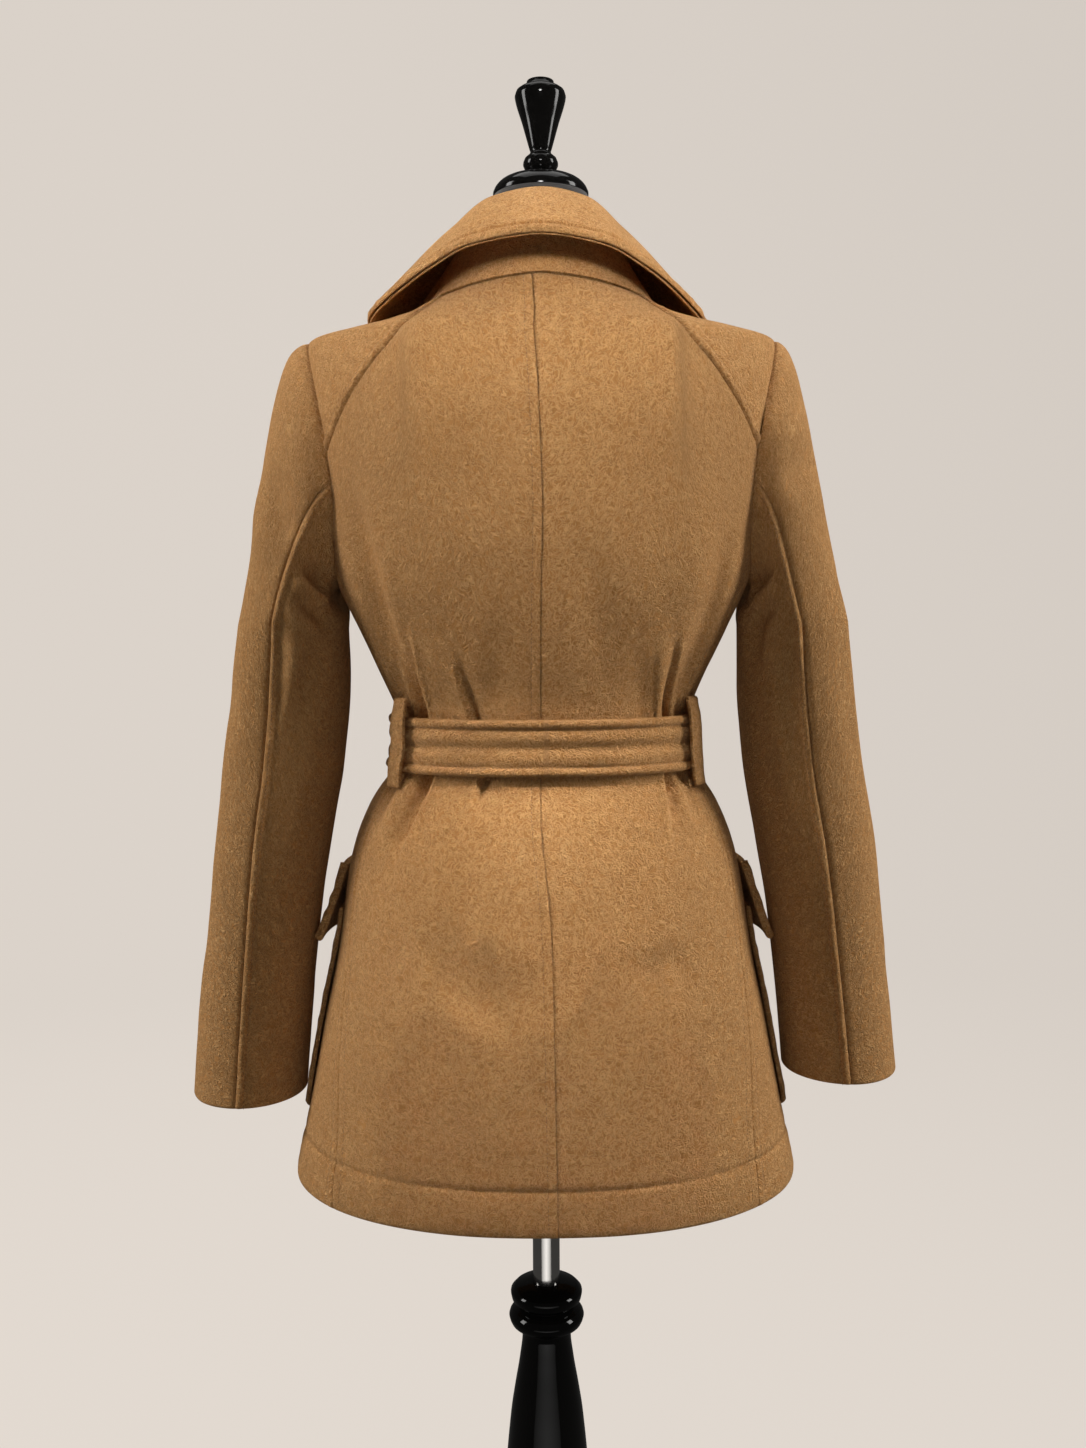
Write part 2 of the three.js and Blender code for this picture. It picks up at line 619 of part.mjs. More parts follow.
/** The sleeve's outward normal. */
function sleeveNormal(sign, round, way) {
  const start = Math.max(way - 0.01, 0);
  const along = sleevePoint(sign, round, start + 0.02).sub(sleevePoint(sign, round, start));
  const about = sleevePoint(sign, round + 1, start + 0.01).sub(sleevePoint(sign, round - 1, start + 0.01));
  return vector(0, 0, 0).crossVectors(along, about).multiplyScalar(sign).normalize();
}

// ---------------------------------------------------------------- cloth walls

/** How far an edge point draws back from its seam, in the plane of the cloth. */
function drawBack(grid, normals, row, column) {
  const [rows, columns] = [grid.length - 1, grid[0].length - 1];
  const at = (down, across) => {
    const line = THREE.MathUtils.clamp(row + down, 0, rows);
    return grid[line][THREE.MathUtils.clamp(column + across, 0, columns)];
  };
  const edges = [
    { here: row === 0, along: [0, 1], inside: at(1, 0) },
    { here: row === rows, along: [0, 1], inside: at(-1, 0) },
    { here: column === 0, along: [1, 0], inside: at(0, 1) },
    { here: column === columns, along: [1, 0], inside: at(0, -1) },
  ];
  const ways = edges
    .filter((edge) => edge.here)
    .map(({ along: [down, across], inside }) => {
      const along = at(down, across).clone().sub(at(-down, -across));
      const way = vector(0, 0, 0).crossVectors(normals[row][column], along).normalize();
      const inward = inside.clone().sub(grid[row][column]);
      return way.multiplyScalar(Math.sign(way.dot(inward)));
    });
  if (ways.length === 0) return vector(0, 0, 0);
  const spread = ways.length === 2 ? 1 + ways[0].dot(ways[1]) : 1;
  const sum = ways.reduce((total, way) => total.add(way), vector(0, 0, 0));
  return sum.multiplyScalar(SEAM_GAP / 2 / Math.max(spread, 0.5));
}

/** A cloth wall under a grid of outer points. `wall` gives the thickness of each row. */
function clothGeometry(grid, normals, wall = () => CLOTH) {
  const outside = grid.map((line, row) =>
    line.map((point, column) => point.clone().add(drawBack(grid, normals, row, column))),
  );
  const inside = outside.map((line, row) =>
    line.map((point, column) => point.clone().addScaledVector(normals[row][column], -wall(row))),
  );
  return wallGeometry(outside, inside);
}

/**
 * Fills a grid between four edges, each a row of points on the form. Its rows are level up to
 * the row `calm`, and bend towards the head's edge above it.
 */
function fillPanel({ foot, head, start, end, calm = 0 }) {
  const [rows, columns] = [start.length - 1, foot.length - 1];
  return start.map((_, row) =>
    foot.map((_, column) => {
      if (row === 0) return foot[column];
      if (row === rows) return head[column];
      if (column === 0) return start[row];
      if (column === columns) return end[row];
      const up = Math.max(row - calm, 0) / (rows - calm);
      const across = column / columns;
      const point = vector(0, 0, 0)
        .addScaledVector(foot[column], 1 - up)
        .addScaledVector(head[column], up)
        .addScaledVector(start[row], 1 - across)
        .addScaledVector(end[row], across)
        .addScaledVector(foot[0], -(1 - up) * (1 - across))
        .addScaledVector(foot[columns], -(1 - up) * across)
        .addScaledVector(head[0], -up * (1 - across))
        .addScaledVector(head[columns], -up * across);
      return ontoForm(point);
    }),
  );
}

/** How far the right front is lifted over the left one at a point of the front. */
function lapLift(point) {
  if (point.y > 0) return 0;
  const wall = THREE.MathUtils.lerp(HEM_WALL, CLOTH, smooth(point.z, HEM_TOP, HEM_TOP + LAP_HEM_FADE));
  return (wall + LAP_EASE) * smooth(point.x, LAP_RAMP.from, LAP_RAMP.to);
}

/** A body panel between its four edges. */
function panelGeometry(edges, { hemmed = false, lapped = false } = {}) {
  const base = fillPanel(edges).map((line) => line.map(hung));
  const normals = base.map((line) => line.map((point) => point.through ?? formNormal(point)));
  const grid = base.map((line, row) =>
    line.map((point, column) => {
      const draped = drape(point);
      return lapped ? draped.addScaledVector(normals[row][column], lapLift(point)) : draped;
    }),
  );
  return clothGeometry(grid, normals, (row) => (hemmed && row < 2 ? HEM_WALL : CLOTH));
}

/** The points of the hem between two angles from the centre back. */
const hemLine = (from, to, count) => steps(from, to, count).map((angle) => formPoint(angle, HEM_LEVEL));

const backPanel = (sign) => ({
  foot: hemLine(centreBackAngle(HEM_LEVEL), sign * sideBackAngle(HEM_LEVEL), 8),
  head: joined(
    neckline(centreBackAngle(NECK_BACK), sign * yokeStart(YOKE_BACK, true), 2),
    yokeSeam(sign, YOKE_BACK, true, YOKE_ENDS.back),
  ),
  start: centreBackSeam(),
  end: joined(sideBackSeam(sign), armhole(sign, SIDE_BACK_END, YOKE_ENDS.back, 4)),
  calm: LEVEL_ROWS,
});

const sideBackPanel = (sign) => ({
  foot: hemLine(sign * sideBackAngle(HEM_LEVEL), sign * sideAngle(HEM_LEVEL), 4),
  head: armhole(sign, SIDE_BACK_END, 180, 4),
  start: sideBackSeam(sign),
  end: sideSeam(sign),
  calm: LEVEL_ROWS,
});

const frontPanel = (sign) => ({
  foot: hemLine(sign * sideAngle(HEM_LEVEL), sign * (180 + angleAcross(FRONT_LAP, HEM_LEVEL)), 16),
  head: joined(
    armhole(sign, 180, 360 + YOKE_ENDS.front, 6),
    reversed(yokeSeam(sign, YOKE_FRONT, false, YOKE_ENDS.front)),
    neckline(sign * yokeStart(YOKE_FRONT, false), sign * (180 + angleAcross(FRONT_LAP, neckLevel(180))), 4),
  ),
  start: sideSeam(sign),
  end: frontEdge(sign),
  calm: LEVEL_ROWS,
});

const yokePanel = (sign) => ({
  foot: neckline(sign * yokeStart(YOKE_BACK, true), sign * yokeStart(YOKE_FRONT, false), 8),
  head: armhole(sign, YOKE_ENDS.back, YOKE_ENDS.front, 8),
  start: yokeSeam(sign, YOKE_BACK, true, YOKE_ENDS.back),
  end: yokeSeam(sign, YOKE_FRONT, false, YOKE_ENDS.front),
});

/** The armhole's points, once round, as the panels have them. */
const ARMHOLE_ROUND = [
  ...steps(YOKE_ENDS.front, YOKE_ENDS.back, 8),
  ...steps(YOKE_ENDS.back, SIDE_BACK_END, 4).slice(1),
  ...steps(SIDE_BACK_END, 180, 4).slice(1),
  ...steps(180, 360 + YOKE_ENDS.front, 6).slice(1),
];

/** Rows down the sleeve, with two close together above the turned-up cuff. */
function sleeveRows(sign) {
  const cuff = sign > 0 ? CUFF_LEVEL.left : CUFF_LEVEL.right;
  const heights = [...steps(SLEEVE_TOP, 805, 4).slice(1), cuff + CUFF_DEPTH + 3, cuff + CUFF_DEPTH, cuff];
  const ways = heights.map((z) => 1 + (SLEEVE_TOP - z) / (SLEEVE_TOP - cuff));
  return [0, 0.1, 0.25, 0.45, 0.7, 1, ...ways];
}

/** The part of a sleeve between two of the armhole's points. */
function sleeveGeometry(sign, from, to) {
  const rows = sleeveRows(sign);
  const round = ARMHOLE_ROUND.slice(0, -1);
  const count = round.length;
  const columns = steps(from, to, to - from).map((i) => round[i % count]);
  const grid = rows.map((way) => columns.map((angle) => sleevePoint(sign, angle, way)));
  const normals = rows.map((way) =>
    columns.map((angle) => (way === 0 ? armholePoint(sign, angle).through : sleeveNormal(sign, angle, way))),
  );
  return clothGeometry(grid, normals, (row) => (row > rows.length - 3 ? HEM_WALL : CLOTH));
}

// ---------------------------------------------------------------- collar

/** A row of the collar's right half, which is worn narrower behind. */
function mirroredRow(row) {
  const { width: behind, from, to } = COLLAR_RIGHT;
  const width = THREE.MathUtils.lerp(behind, 1, smooth(row.angle, from, to));
  return { ...row, angle: -row.angle, rollX: -row.rollX * width, edgeX: -row.edgeX * width };
}
const collarCurves = tableCurves([...reversed(COLLAR.slice(1)).map(mirroredRow), ...COLLAR], 'angle');
const COLLAR_END = COLLAR[COLLAR.length - 1].angle;

/** The middle of the collar's two plies: `way` is 0 at the neckline and 1 at the outer edge. */
function collarPoint(angle, way) {
  const read = (name) => collarCurves[name](angle);
  const seam = formPoint(angle, neckLevel(angle));
  const start = seam.clone().addScaledVector(formNormal(seam), lapLift(seam) - CLOTH / 2);
  const edge = vector(read('edgeX'), read('edgeY'), read('edgeZ'));
  const roll = vector(read('rollX'), read('rollY'), read('rollZ'));
  const middle = start.clone().add(edge).multiplyScalar(-0.125).add(roll).multiplyScalar(1 / 0.75);
  const spread = edge.clone().sub(start).multiplyScalar(COLLAR_SPREAD / 2);
  const rise = middle.clone().sub(spread);
  start.addScaledVector(rise.clone().sub(start).normalize(), COLLAR_LIFT);
  return new THREE.CubicBezierCurve3(start, rise, middle.clone().add(spread), edge).getPoint(way);
}

/** The way out of the collar's upper side. */
function collarNormal(angle, way) {
  const low = Math.max(way - 0.02, 0);
  const high = Math.min(way + 0.02, 1);
  const along = collarPoint(angle, high).sub(collarPoint(angle, low));
  const about = collarPoint(angle + 1, way).sub(collarPoint(angle - 1, way));
  return vector(0, 0, 0).crossVectors(about, along).normalize();
}

/** One ply of the collar, over or under the seam between the two. */
function collarGeometry(layer) {
  const angles = steps(-COLLAR_END, COLLAR_END, 18);
  const ways = [0, 0.2, 0.34, 0.45, 0.56, 0.75, 1];
  const normals = ways.map((way) => angles.map((angle) => collarNormal(angle, way)));
  const level = (offset) =>
    ways.map((way, row) =>
      angles.map((angle, column) => collarPoint(angle, way).addScaledVector(normals[row][column], offset)),
    );
  return wallGeometry(level(layer * (CLOTH + PLY_GAP / 2)), level((layer * PLY_GAP) / 2));
}

// ---------------------------------------------------------------- belt, loops and pockets

/** A point moved out from the form. */
function outFrom(angle, z, distance) {
  const point = formPoint(angle, z);
  return point.addScaledVector(formNormal(point), distance);
}

/** A closed wall over a table of heights and angles, from its inner face outwards. */
function appliedGeometry(heights, anglesAt, freeAt, wall) {
  const level = (extra) =>
    heights.map((z, row) =>
      anglesAt(z, row).map((angle, column) => outFrom(angle, z, freeAt(row, column) + extra)),
    );
  return wallGeometry(level(wall), level(0));
}

/** Free space that the belt and its tails need over the lapped fronts. */
function overLap(angle, z) {
  const point = formPoint(angle, z);
  return lapLift(point) * (1 - smooth(point.x, LAP_FALL.from, LAP_FALL.to));
}

function beltBand() {
  const angles = steps(0, 360, 36).slice(0, -1);
  const heights = [-0.5, 0, 0.5].map((part) => BELT_LEVEL + part * BELT_WIDTH);
  const level = (extra) =>
    heights.map((z) => angles.map((angle) => outFrom(angle, z, BELT_STANDOFF + overLap(angle, z) + extra)));
  return wallGeometry(level(BELT_WALL), level(0), true);
}

function beltKnot() {
  const geometry = new THREE.SphereGeometry(1, 12, 7);
  geometry.scale(KNOT.halfWidth, KNOT.halfDepth, KNOT.halfHeight);
  const face = bodyCurves.front(BELT_LEVEL) + BELT_STANDOFF + LAP_LIFT + BELT_WALL;
  geometry.translate(KNOT.x, -face - KNOT.halfDepth - KNOT.standoff, BELT_LEVEL);
  return geometry;
}

/** A hanging end of the belt, narrow at the knot and full width below. */
function beltTail({ sign, foot, spread }) {
  const heights = steps(TAIL.head, foot, 7);
  const ease = (z) => smooth(TAIL.head - z, 0, TAIL.spreadOver);
  const anglesAt = (z) => {
    const half = THREE.MathUtils.lerp(TAIL.topHalf, TAIL.half, ease(z));
    const centre = THREE.MathUtils.lerp(TAIL.centre, TAIL.centre + spread, ease(z));
    return steps(centre - half, centre + half, 2).map((x) => sign * (180 - angleAcross(x, z)));
  };
  const freeAt = (row) => LAP_LIFT + TAIL.standoff + TAIL.headRise * (1 - ease(heights[row]));
  return appliedGeometry(heights, anglesAt, freeAt, BELT_WALL);
}

function beltLoop(sign) {
  const middle = sign > 0 ? LOOP.left : LOOP.right;
  const angles = [middle - LOOP.halfAngle, middle + LOOP.halfAngle].map((angle) => sign * angle);
  const heights = LOOP_ROWS.map((row) => row.z);
  return appliedGeometry(heights, () => angles, (row) => LOOP_ROWS[row].free, LOOP.wall);
}

function pocketPatch(sign) {
  const { back, front, top, foot, standoff, swell } = POCKET;
  const corner = POCKET_CORNER.map(({ rise }) => foot + rise);
  const heights = [...corner, ...steps(corner[corner.length - 1], top, 4).slice(1)];
  const columns = 8;
  const anglesAt = (z, row) => {
    const tuck = POCKET_CORNER[row]?.tuck ?? 0;
    return steps(back + tuck, front - tuck, columns).map((angle) => sign * angle);
  };
  const bulge = (part) => Math.max(Math.sin(Math.PI * part), 0) ** 0.5;
  const freeAt = (row, column) =>
    standoff + swell * bulge((heights[row] - foot) / (top - foot)) * bulge(column / columns);
  return appliedGeometry(heights, anglesAt, freeAt, CLOTH);
}

function pocketFlap(sign) {
  const { back, front, top, foot, standoff, kick, wall } = FLAP;
  const rows = 4;
  const heights = steps(top, foot, rows);
  const angles = steps(back, front, 8).map((angle) => sign * angle);
  const freeAt = (row) => standoff + kick * (row / rows) ** 1.2;
  return appliedGeometry(heights, () => angles, freeAt, wall);
}

// ---------------------------------------------------------------- form and stand

/** A solid through a stack of sections, closed flat at both ends. */
function stackedGeometry(rows, facets) {
  const curves = tableCurves(rows, 'z');
  const angles = steps(0, 360, facets).slice(0, -1);
  const points = rows.flatMap(({ z }) => angles.map((angle) => formPoint(angle, z, curves)));
  const triangles = [];
  for (let row = 0; row < rows.length - 1; row += 1) {
    for (let i = 0; i < facets; i += 1) {
      const [a, b] = [row * facets + i, row * facets + ((i + 1) % facets)];
      triangles.push([a, b, b + facets], [a, b + facets, a + facets]);
    }
  }
  for (const [first, z] of [[0, rows[0].z], [points.length - facets, rows[rows.length - 1].z]]) {
    const hub = points.push(vector(0, 0, z)) - 1;
    for (let i = 0; i < facets; i += 1) {
      const [a, b] = [first + i, first + ((i + 1) % facets)];
      triangles.push(first === 0 ? [hub, b, a] : [hub, a, b]);
    }
  }
  return closedGeometry(points, triangles);
}

/** A turned solid, from its radii and heights. */
function turnedGeometry(rows, facets) {
  const profile = [
    new THREE.Vector2(0, rows[0].z),
    ...rows.map(({ r, z }) => new THREE.Vector2(r, z)),
    new THREE.Vector2(0, rows[rows.length - 1].z),
  ];
  return new THREE.LatheGeometry(profile, facets).rotateX(Math.PI / 2);
}

// ---------------------------------------------------------------- assembly

const object = new THREE.Group();

function add(name, geometry, material) {
  const mesh = new THREE.Mesh(geometry, material);
  mesh.name = name;
  object.add(mesh);
}

const { wool, cover, lacquer, steel } = MATERIALS;
for (const [side, sign] of [['left', 1], ['right', -1]]) {
  add(`back_${side}`, panelGeometry(backPanel(sign), { hemmed: true }), wool);
  add(`side_back_${side}`, panelGeometry(sideBackPanel(sign), { hemmed: true }), wool);
  add(`front_${side}`, panelGeometry(frontPanel(sign), { hemmed: true, lapped: sign < 0 }), wool);
  add(`yoke_${side}`, panelGeometry(yokePanel(sign)), wool);
  const around = ARMHOLE_ROUND.length - 1;
  add(`sleeve_top_${side}`, sleeveGeometry(sign, SLEEVE_SEAMS.front, SLEEVE_SEAMS.back + around), wool);
  add(`sleeve_under_${side}`, sleeveGeometry(sign, SLEEVE_SEAMS.back, SLEEVE_SEAMS.front), wool);
  add(`belt_loop_${side}`, beltLoop(sign), wool);
  add(`pocket_${side}`, pocketPatch(sign), wool);
  add(`pocket_flap_${side}`, pocketFlap(sign), wool);
}
add('collar_upper', collarGeometry(1), wool);
add('collar_under', collarGeometry(-1), wool);
add('belt_band', beltBand(), wool);
add('belt_knot', beltKnot(), wool);
TAILS.forEach((tail) => add(tail.name, beltTail(tail), wool));
add('form_torso', stackedGeometry(TORSO, TORSO_FACETS), cover);
add('form_neck_cap', turnedGeometry(NECK_CAP, 24), lacquer);
add('finial', turnedGeometry(FINIAL, 24), lacquer);
add('pole', turnedGeometry([{ r: POLE.radius, z: POLE.foot }, { r: POLE.radius, z: POLE.top }], 24), steel);
add('stand_post', turnedGeometry(POST, 32), lacquer);
add('stand_base', turnedGeometry(BASE, 48), lacquer);

export default object;
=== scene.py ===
import math

import bmesh
import bpy
import numpy as np
from mathutils import Matrix, Vector


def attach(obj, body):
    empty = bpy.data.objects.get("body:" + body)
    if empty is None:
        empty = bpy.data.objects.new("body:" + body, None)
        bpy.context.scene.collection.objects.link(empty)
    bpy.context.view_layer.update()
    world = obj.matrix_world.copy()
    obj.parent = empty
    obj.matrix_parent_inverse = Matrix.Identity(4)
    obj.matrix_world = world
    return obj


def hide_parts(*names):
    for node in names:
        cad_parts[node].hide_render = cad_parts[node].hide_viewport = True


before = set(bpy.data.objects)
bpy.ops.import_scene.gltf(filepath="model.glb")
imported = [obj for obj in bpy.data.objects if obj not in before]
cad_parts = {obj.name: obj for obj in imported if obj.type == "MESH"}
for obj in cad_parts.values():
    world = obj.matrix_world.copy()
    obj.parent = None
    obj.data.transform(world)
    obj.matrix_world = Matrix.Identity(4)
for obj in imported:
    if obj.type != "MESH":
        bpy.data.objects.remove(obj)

bl_info = {
    "name": "Belted coat on a dress form",
    "version": (1, 0, 0),
    "blender": (4, 5, 0),
    "location": "3D View > Sidebar > Coat",
    "description": "A belted wool coat on a limbless dress form and its turned stand",
    "category": "Object",
}

# Lengths in this file are millimetres until a mesh is made, +Z up. The coat's front faces -Y and
# the wearer's left is +X. Angles are degrees from the centre back towards the wearer's left.
METRES = 0.001

# ---------------------------------------------------------------- sizes

CLOTH = 2.5  # one ply of the wool
PLY_GAP = 0.8  # between the collar's two plies
HEM_LEVEL = 676
HEM_DEPTH = 34
HEM_TOP = HEM_LEVEL + HEM_DEPTH
HEM_RISE = {"centre": 4.5, "side": 12, "from": 716, "to": 810}  # how the hem curves up to the sides
HEM_WALL = 5
BELT_WIDTH = 45
BELT_LEVEL = 1033
BELT_WALL = 4.5
BELT_STANDOFF = 1.8
FRONT_LAP = 45
LAP_EASE = 4.2
LAP_LIFT = CLOTH + LAP_EASE
LAP_HEM_FADE = 60
LAP_RAMP = (-90, -57)
LAP_FALL = (53, 80)
CALM_LEVEL = 1100  # the panels' rows are level up to here
SEAM_GAP = 0.14

ARMHOLE_LEVEL, ARMHOLE_HEIGHT = 1258, 98
ARMHOLE_BACK, ARMHOLE_FRONT = 24.5, 26  # degrees that it reaches behind and before the side
CUFF_LEVEL = {"left": 743, "right": 760}
CUFF_DEPTH = 36
SIDE_BACK_END = 143  # degrees round the armhole where the side-back seam meets it
YOKE_END = 88  # and where the yoke's seams do
SLEEVE_BACK_SEAM = 101.75
SLEEVE_FRONT_SEAM = 241.33
SLEEVE_TOP = 1127

# Sections of the coat's body: height, half width, depth behind and before the axis, squareness.
BODY = (
    (676, 203, 128, 150, 2.3),
    (740, 191, 127, 146, 2.3),
    (810, 178, 124, 140, 2.3),
    (870, 166.5, 119, 132, 2.3),
    (940, 156, 110, 121, 2.3),
    (976, 144, 100, 110, 2.3),
    (994, 134.5, 91, 102, 2.3),
    (1008, 123.5, 83.5, 94.5, 2.3),
    (1033, 118.5, 81, 92, 2.3),
    (1058, 119.5, 82, 93, 2.3),
    (1074, 125.5, 84.5, 96, 2.35),
    (1090, 133, 88, 100, 2.4),
    (1130, 152, 95, 108, 2.45),
    (1160, 166, 99, 114, 2.5),
    (1210, 174, 103, 117, 2.5),
    (1290, 186, 104, 110, 2.45),
    (1338, 190, 97, 89, 2.3),
    (1354, 189, 92, 78, 2.2),
    (1361, 168, 89, 71, 2.1),
    (1368, 139, 86, 65, 2),
    (1377, 110, 82, 58, 2),
    (1388, 87, 78, 52, 2),
    (1398, 74, 74, 47, 2),
    (1440, 30, 40, 20, 2),
)
TORSO = (
    (712, 122, 88, 96, 2.2),
    (722, 132, 96, 104, 2.2),
    (830, 142, 102, 112, 2.2),
    (930, 130, 94, 104, 2.2),
    (1000, 112, 74, 86, 2.2),
    (1033, 108, 71, 82, 2.2),
    (1090, 118, 76, 88, 2.3),
    (1160, 140, 88, 103, 2.4),
    (1230, 152, 94, 107, 2.4),
    (1300, 160, 94, 86, 2.2),
    (1336, 170, 84, 62, 2.1),
    (1346, 170, 79, 56, 2),
    (1354, 152, 75, 52, 2),
    (1362, 126, 72, 49, 2),
    (1372, 97, 68, 49, 2),
    (1384, 76, 65, 46, 2),
    (1402, 55, 52, 42, 2),
    (1430, 45, 44, 41, 2),
    (1476.6, 38.5, 38.5, 38.5, 2),
)

# Seams of the body, as (height, angle), and the neckline, as (angle, height).
CENTRE_BACK = (
    (676, -1.6),
    (880, -1.2),
    (1000, 0.6),
    (1215, 0),
    (1300, 0.3),
    (1340, 0.9),
    (1361, 1.6),
    (1377, 3.1),
    (1388, 4.3),
    (1396, 5.2),
)
SIDE_BACK = (
    (676, 50.7),
    (740, 54.3),
    (810, 60.3),
    (880, 65.3),
    (950, 67),
    (1058, 66.5),
    (1130, 68.5),
)
SIDE = ((676, 90), (940, 88), (1033, 86), (1130, 88))
NECKLINE = (
    (0, 1396),
    (30, 1392.5),
    (62, 1388),
    (90, 1385),
    (120, 1383),
    (148, 1372),
    (165, 1357),
    (173, 1343),
    (180, 1331),
    (190, 1326),
)
NECK_BACK = 1396
# The yoke's seams, as distance across and height, from the neckline to the armhole.
YOKE_BACK = ((77, 1388), (93, 1371), (109, 1352), (126, 1331), (141, 1311), (154, 1291), (164, 1273))
YOKE_FRONT = ((80, 1381), (92, 1372), (108, 1358), (124, 1341), (139, 1322), (152, 1302), (161, 1281))

# Sections of the hanging sleeve: height, centre x and y, half width, half depth.
SLEEVE = (
    (1127, 203.5, 2, 44.5, 58),
    (1064, 206.8, 3, 47.7, 58),
    (1008, 212.5, 2, 48.5, 57),
    (952, 221.8, -1, 47.6, 55),
    (907, 228, -4, 46, 53),
    (851, 234.5, -8, 45.6, 51),
    (795, 240.2, -12, 45.8, 51),
    (743, 244.8, -15, 46.2, 52),
)
SLEEVE_SWING = {"left": (-23, -14), "right": (-9, -11)}  # degrees, at upper arm and cuff
# How a sleeve's head leaves the armhole and comes down onto the hanging part: its reach at the
# sides, and what its crown has more and its foot less.
HEADS = {
    "left": {"leave": (18.5, 18.5, 5.5), "arrive": (68, 54, 57), "rise": (0.5, 0.28), "lean": 0.21},
    "right": {"leave": (20.5, 6.5, 9), "arrive": (57, 71, 47), "rise": (0.56, 0.28), "lean": 0.25},
}

# The collar's roll line and outer edge: angle, roll x y z, edge x y z.
COLLAR = (
    (0, 0, 80, 1455, 0, 118, 1413.5),
    (25, 34, 71, 1451, 50, 105, 1409.5),
    (50, 56, 42, 1443, 86, 75, 1400),
    (72, 66, 20, 1441, 119, 35, 1388),
    (92, 68, 0, 1442, 141, 0, 1374.5),
    (118, 62, -30, 1430, 143, -44, 1367),
    (145, 52, -58, 1405, 124, -91, 1320),
    (160, 42, -82, 1380, 100, -110, 1288),
    (172, 27, -98, 1372, 72, -122, 1262),
)
COLLAR_RIGHT = {"width": 0.93, "from": 80, "to": 122}  # its right half is narrower behind
COLLAR_END = 172
COLLAR_SPREAD = 0.66
COLLAR_LIFT = 1.1

POCKET = {"back": 88, "front": 138, "top": 896, "foot": 728, "standoff": 1.2, "swell": 3.5}
POCKET_CORNER = ((0, 5), (7, 1.75), (24, 0))  # rise above the foot, degrees tucked in
FLAP = {"back": 86, "front": 141, "top": 932, "foot": 868, "standoff": 1.4, "kick": 13, "wall": 5}
KNOT = {"x": -2, "width": 25, "depth": 14, "height": 25, "standoff": 0.6}
TAILS = {"left": (1, 776, 14), "right": (-1, 752, 10)}  # side, foot, spread
TAIL = {"head": 1001, "centre": 20, "narrow": 14, "half": 22.5, "standoff": 2.4, "rise": 5, "over": 90}
LOOP = {"left": 59.5, "right": 65, "half": 5, "wall": 4.5}
LOOP_ROWS = (
    (1071, 1.8),
    (1065, 5),
    (1058, 8.2),
    (1046, 10.4),
    (1033, 11.2),
    (1020, 10.4),
    (1008, 8),
    (1002, 5),
    (997, 1.8),
)

# Turned parts, as (radius, height).
BASE = ((150, 0), (150, 12), (144, 17), (96, 22), (88, 30), (48, 36))
POST = (
    (30, 36.3),
    (36, 60),
    (38, 130),
    (37, 300),
    (34.5, 420),
    (29.4, 482),
    (26, 504),
    (22, 527),
    (19.8, 546),
    (20.4, 551),
    (28.5, 556),
    (30.6, 562),
    (28, 567),
    (22.5, 570.5),
    (28, 575),
    (29.2, 581),
    (25, 586),
    (13, 588),
)
NECK_CAP = (
    (39, 1477),
    (39.2, 1479),
    (37.5, 1483.5),
    (34, 1487.5),
    (29, 1490.5),
    (20, 1493),
    (12, 1496),
)
FINIAL = (
    (10, 1496.3),
    (12.5, 1498.5),
    (14.4, 1503.5),
    (12.8, 1508.5),
    (9, 1512),
    (8.4, 1513.5),
    (9, 1515.5),
    (15, 1537),
    (20.6, 1556),
    (21, 1558.5),
    (19.5, 1563.5),
    (13, 1567.5),
    (11.6, 1568.5),
    (11, 1571.5),
)
POLE_RADIUS, POLE_FOOT, POLE_TOP = 11, 588.3, 711.7

# ---------------------------------------------------------------- small maths


def smooth(value, low, high):
    """0 below low and 1 above high, with a soft step between."""
    part = np.clip((np.asarray(value, float) - low) / (high - low), 0, 1)
    return part * part * (3 - 2 * part)


def lerp(low, high, part):
    return low + (high - low) * part


def unit(vectors):
    return vectors / np.maximum(np.linalg.norm(vectors, axis=-1, keepdims=True), 1e-12)


class Curve:
    """A smooth curve through a table, which never overshoots its rows."""

    def __init__(self, at, value):
        order = np.argsort(at)
        self.at = np.asarray(at, float)[order]
        self.value = np.asarray(value, float)[order]
        self.step = np.diff(self.at)
        rise = np.diff(self.value) / self.step
        self.slope = np.concatenate([rise[:1], np.zeros(len(rise) - 1), rise[-1:]])
        same = rise[:-1] * rise[1:] > 0
        before = (2 * self.step[1:] + self.step[:-1])[same]
        after = (self.step[1:] + 2 * self.step[:-1])[same]
        mean = (before + after) / (before / rise[:-1][same] + after / rise[1:][same])
        self.slope[1:-1][same] = mean

    def __call__(self, position):
        x = np.clip(position, self.at[0], self.at[-1])
        i = np.clip(np.searchsorted(self.at, x) - 1, 0, len(self.step) - 1)
        t = (x - self.at[i]) / self.step[i]
        flat = (1 + 2 * t) * (1 - t) ** 2 * self.value[i] + t * t * (3 - 2 * t) * self.value[i + 1]
        sloped = t * (1 - t) ** 2 * self.slope[i] - t * t * (1 - t) * self.slope[i + 1]
        return flat + sloped * self.step[i]


def lattice(cell, seed):
    """A number from -1 to 1 for each whole-numbered cell."""
    mixed = cell[..., 0] * 73856093 ^ cell[..., 1] * 19349663 ^ cell[..., 2] * 83492791
    mixed = (mixed + seed * 668265263) & 0x7FFFFFFF
    mixed = ((mixed ^ (mixed >> 13)) * 1274126177) & 0x7FFFFFFF
    return ((mixed ^ (mixed >> 16)) % 65536) / 32767.5 - 1


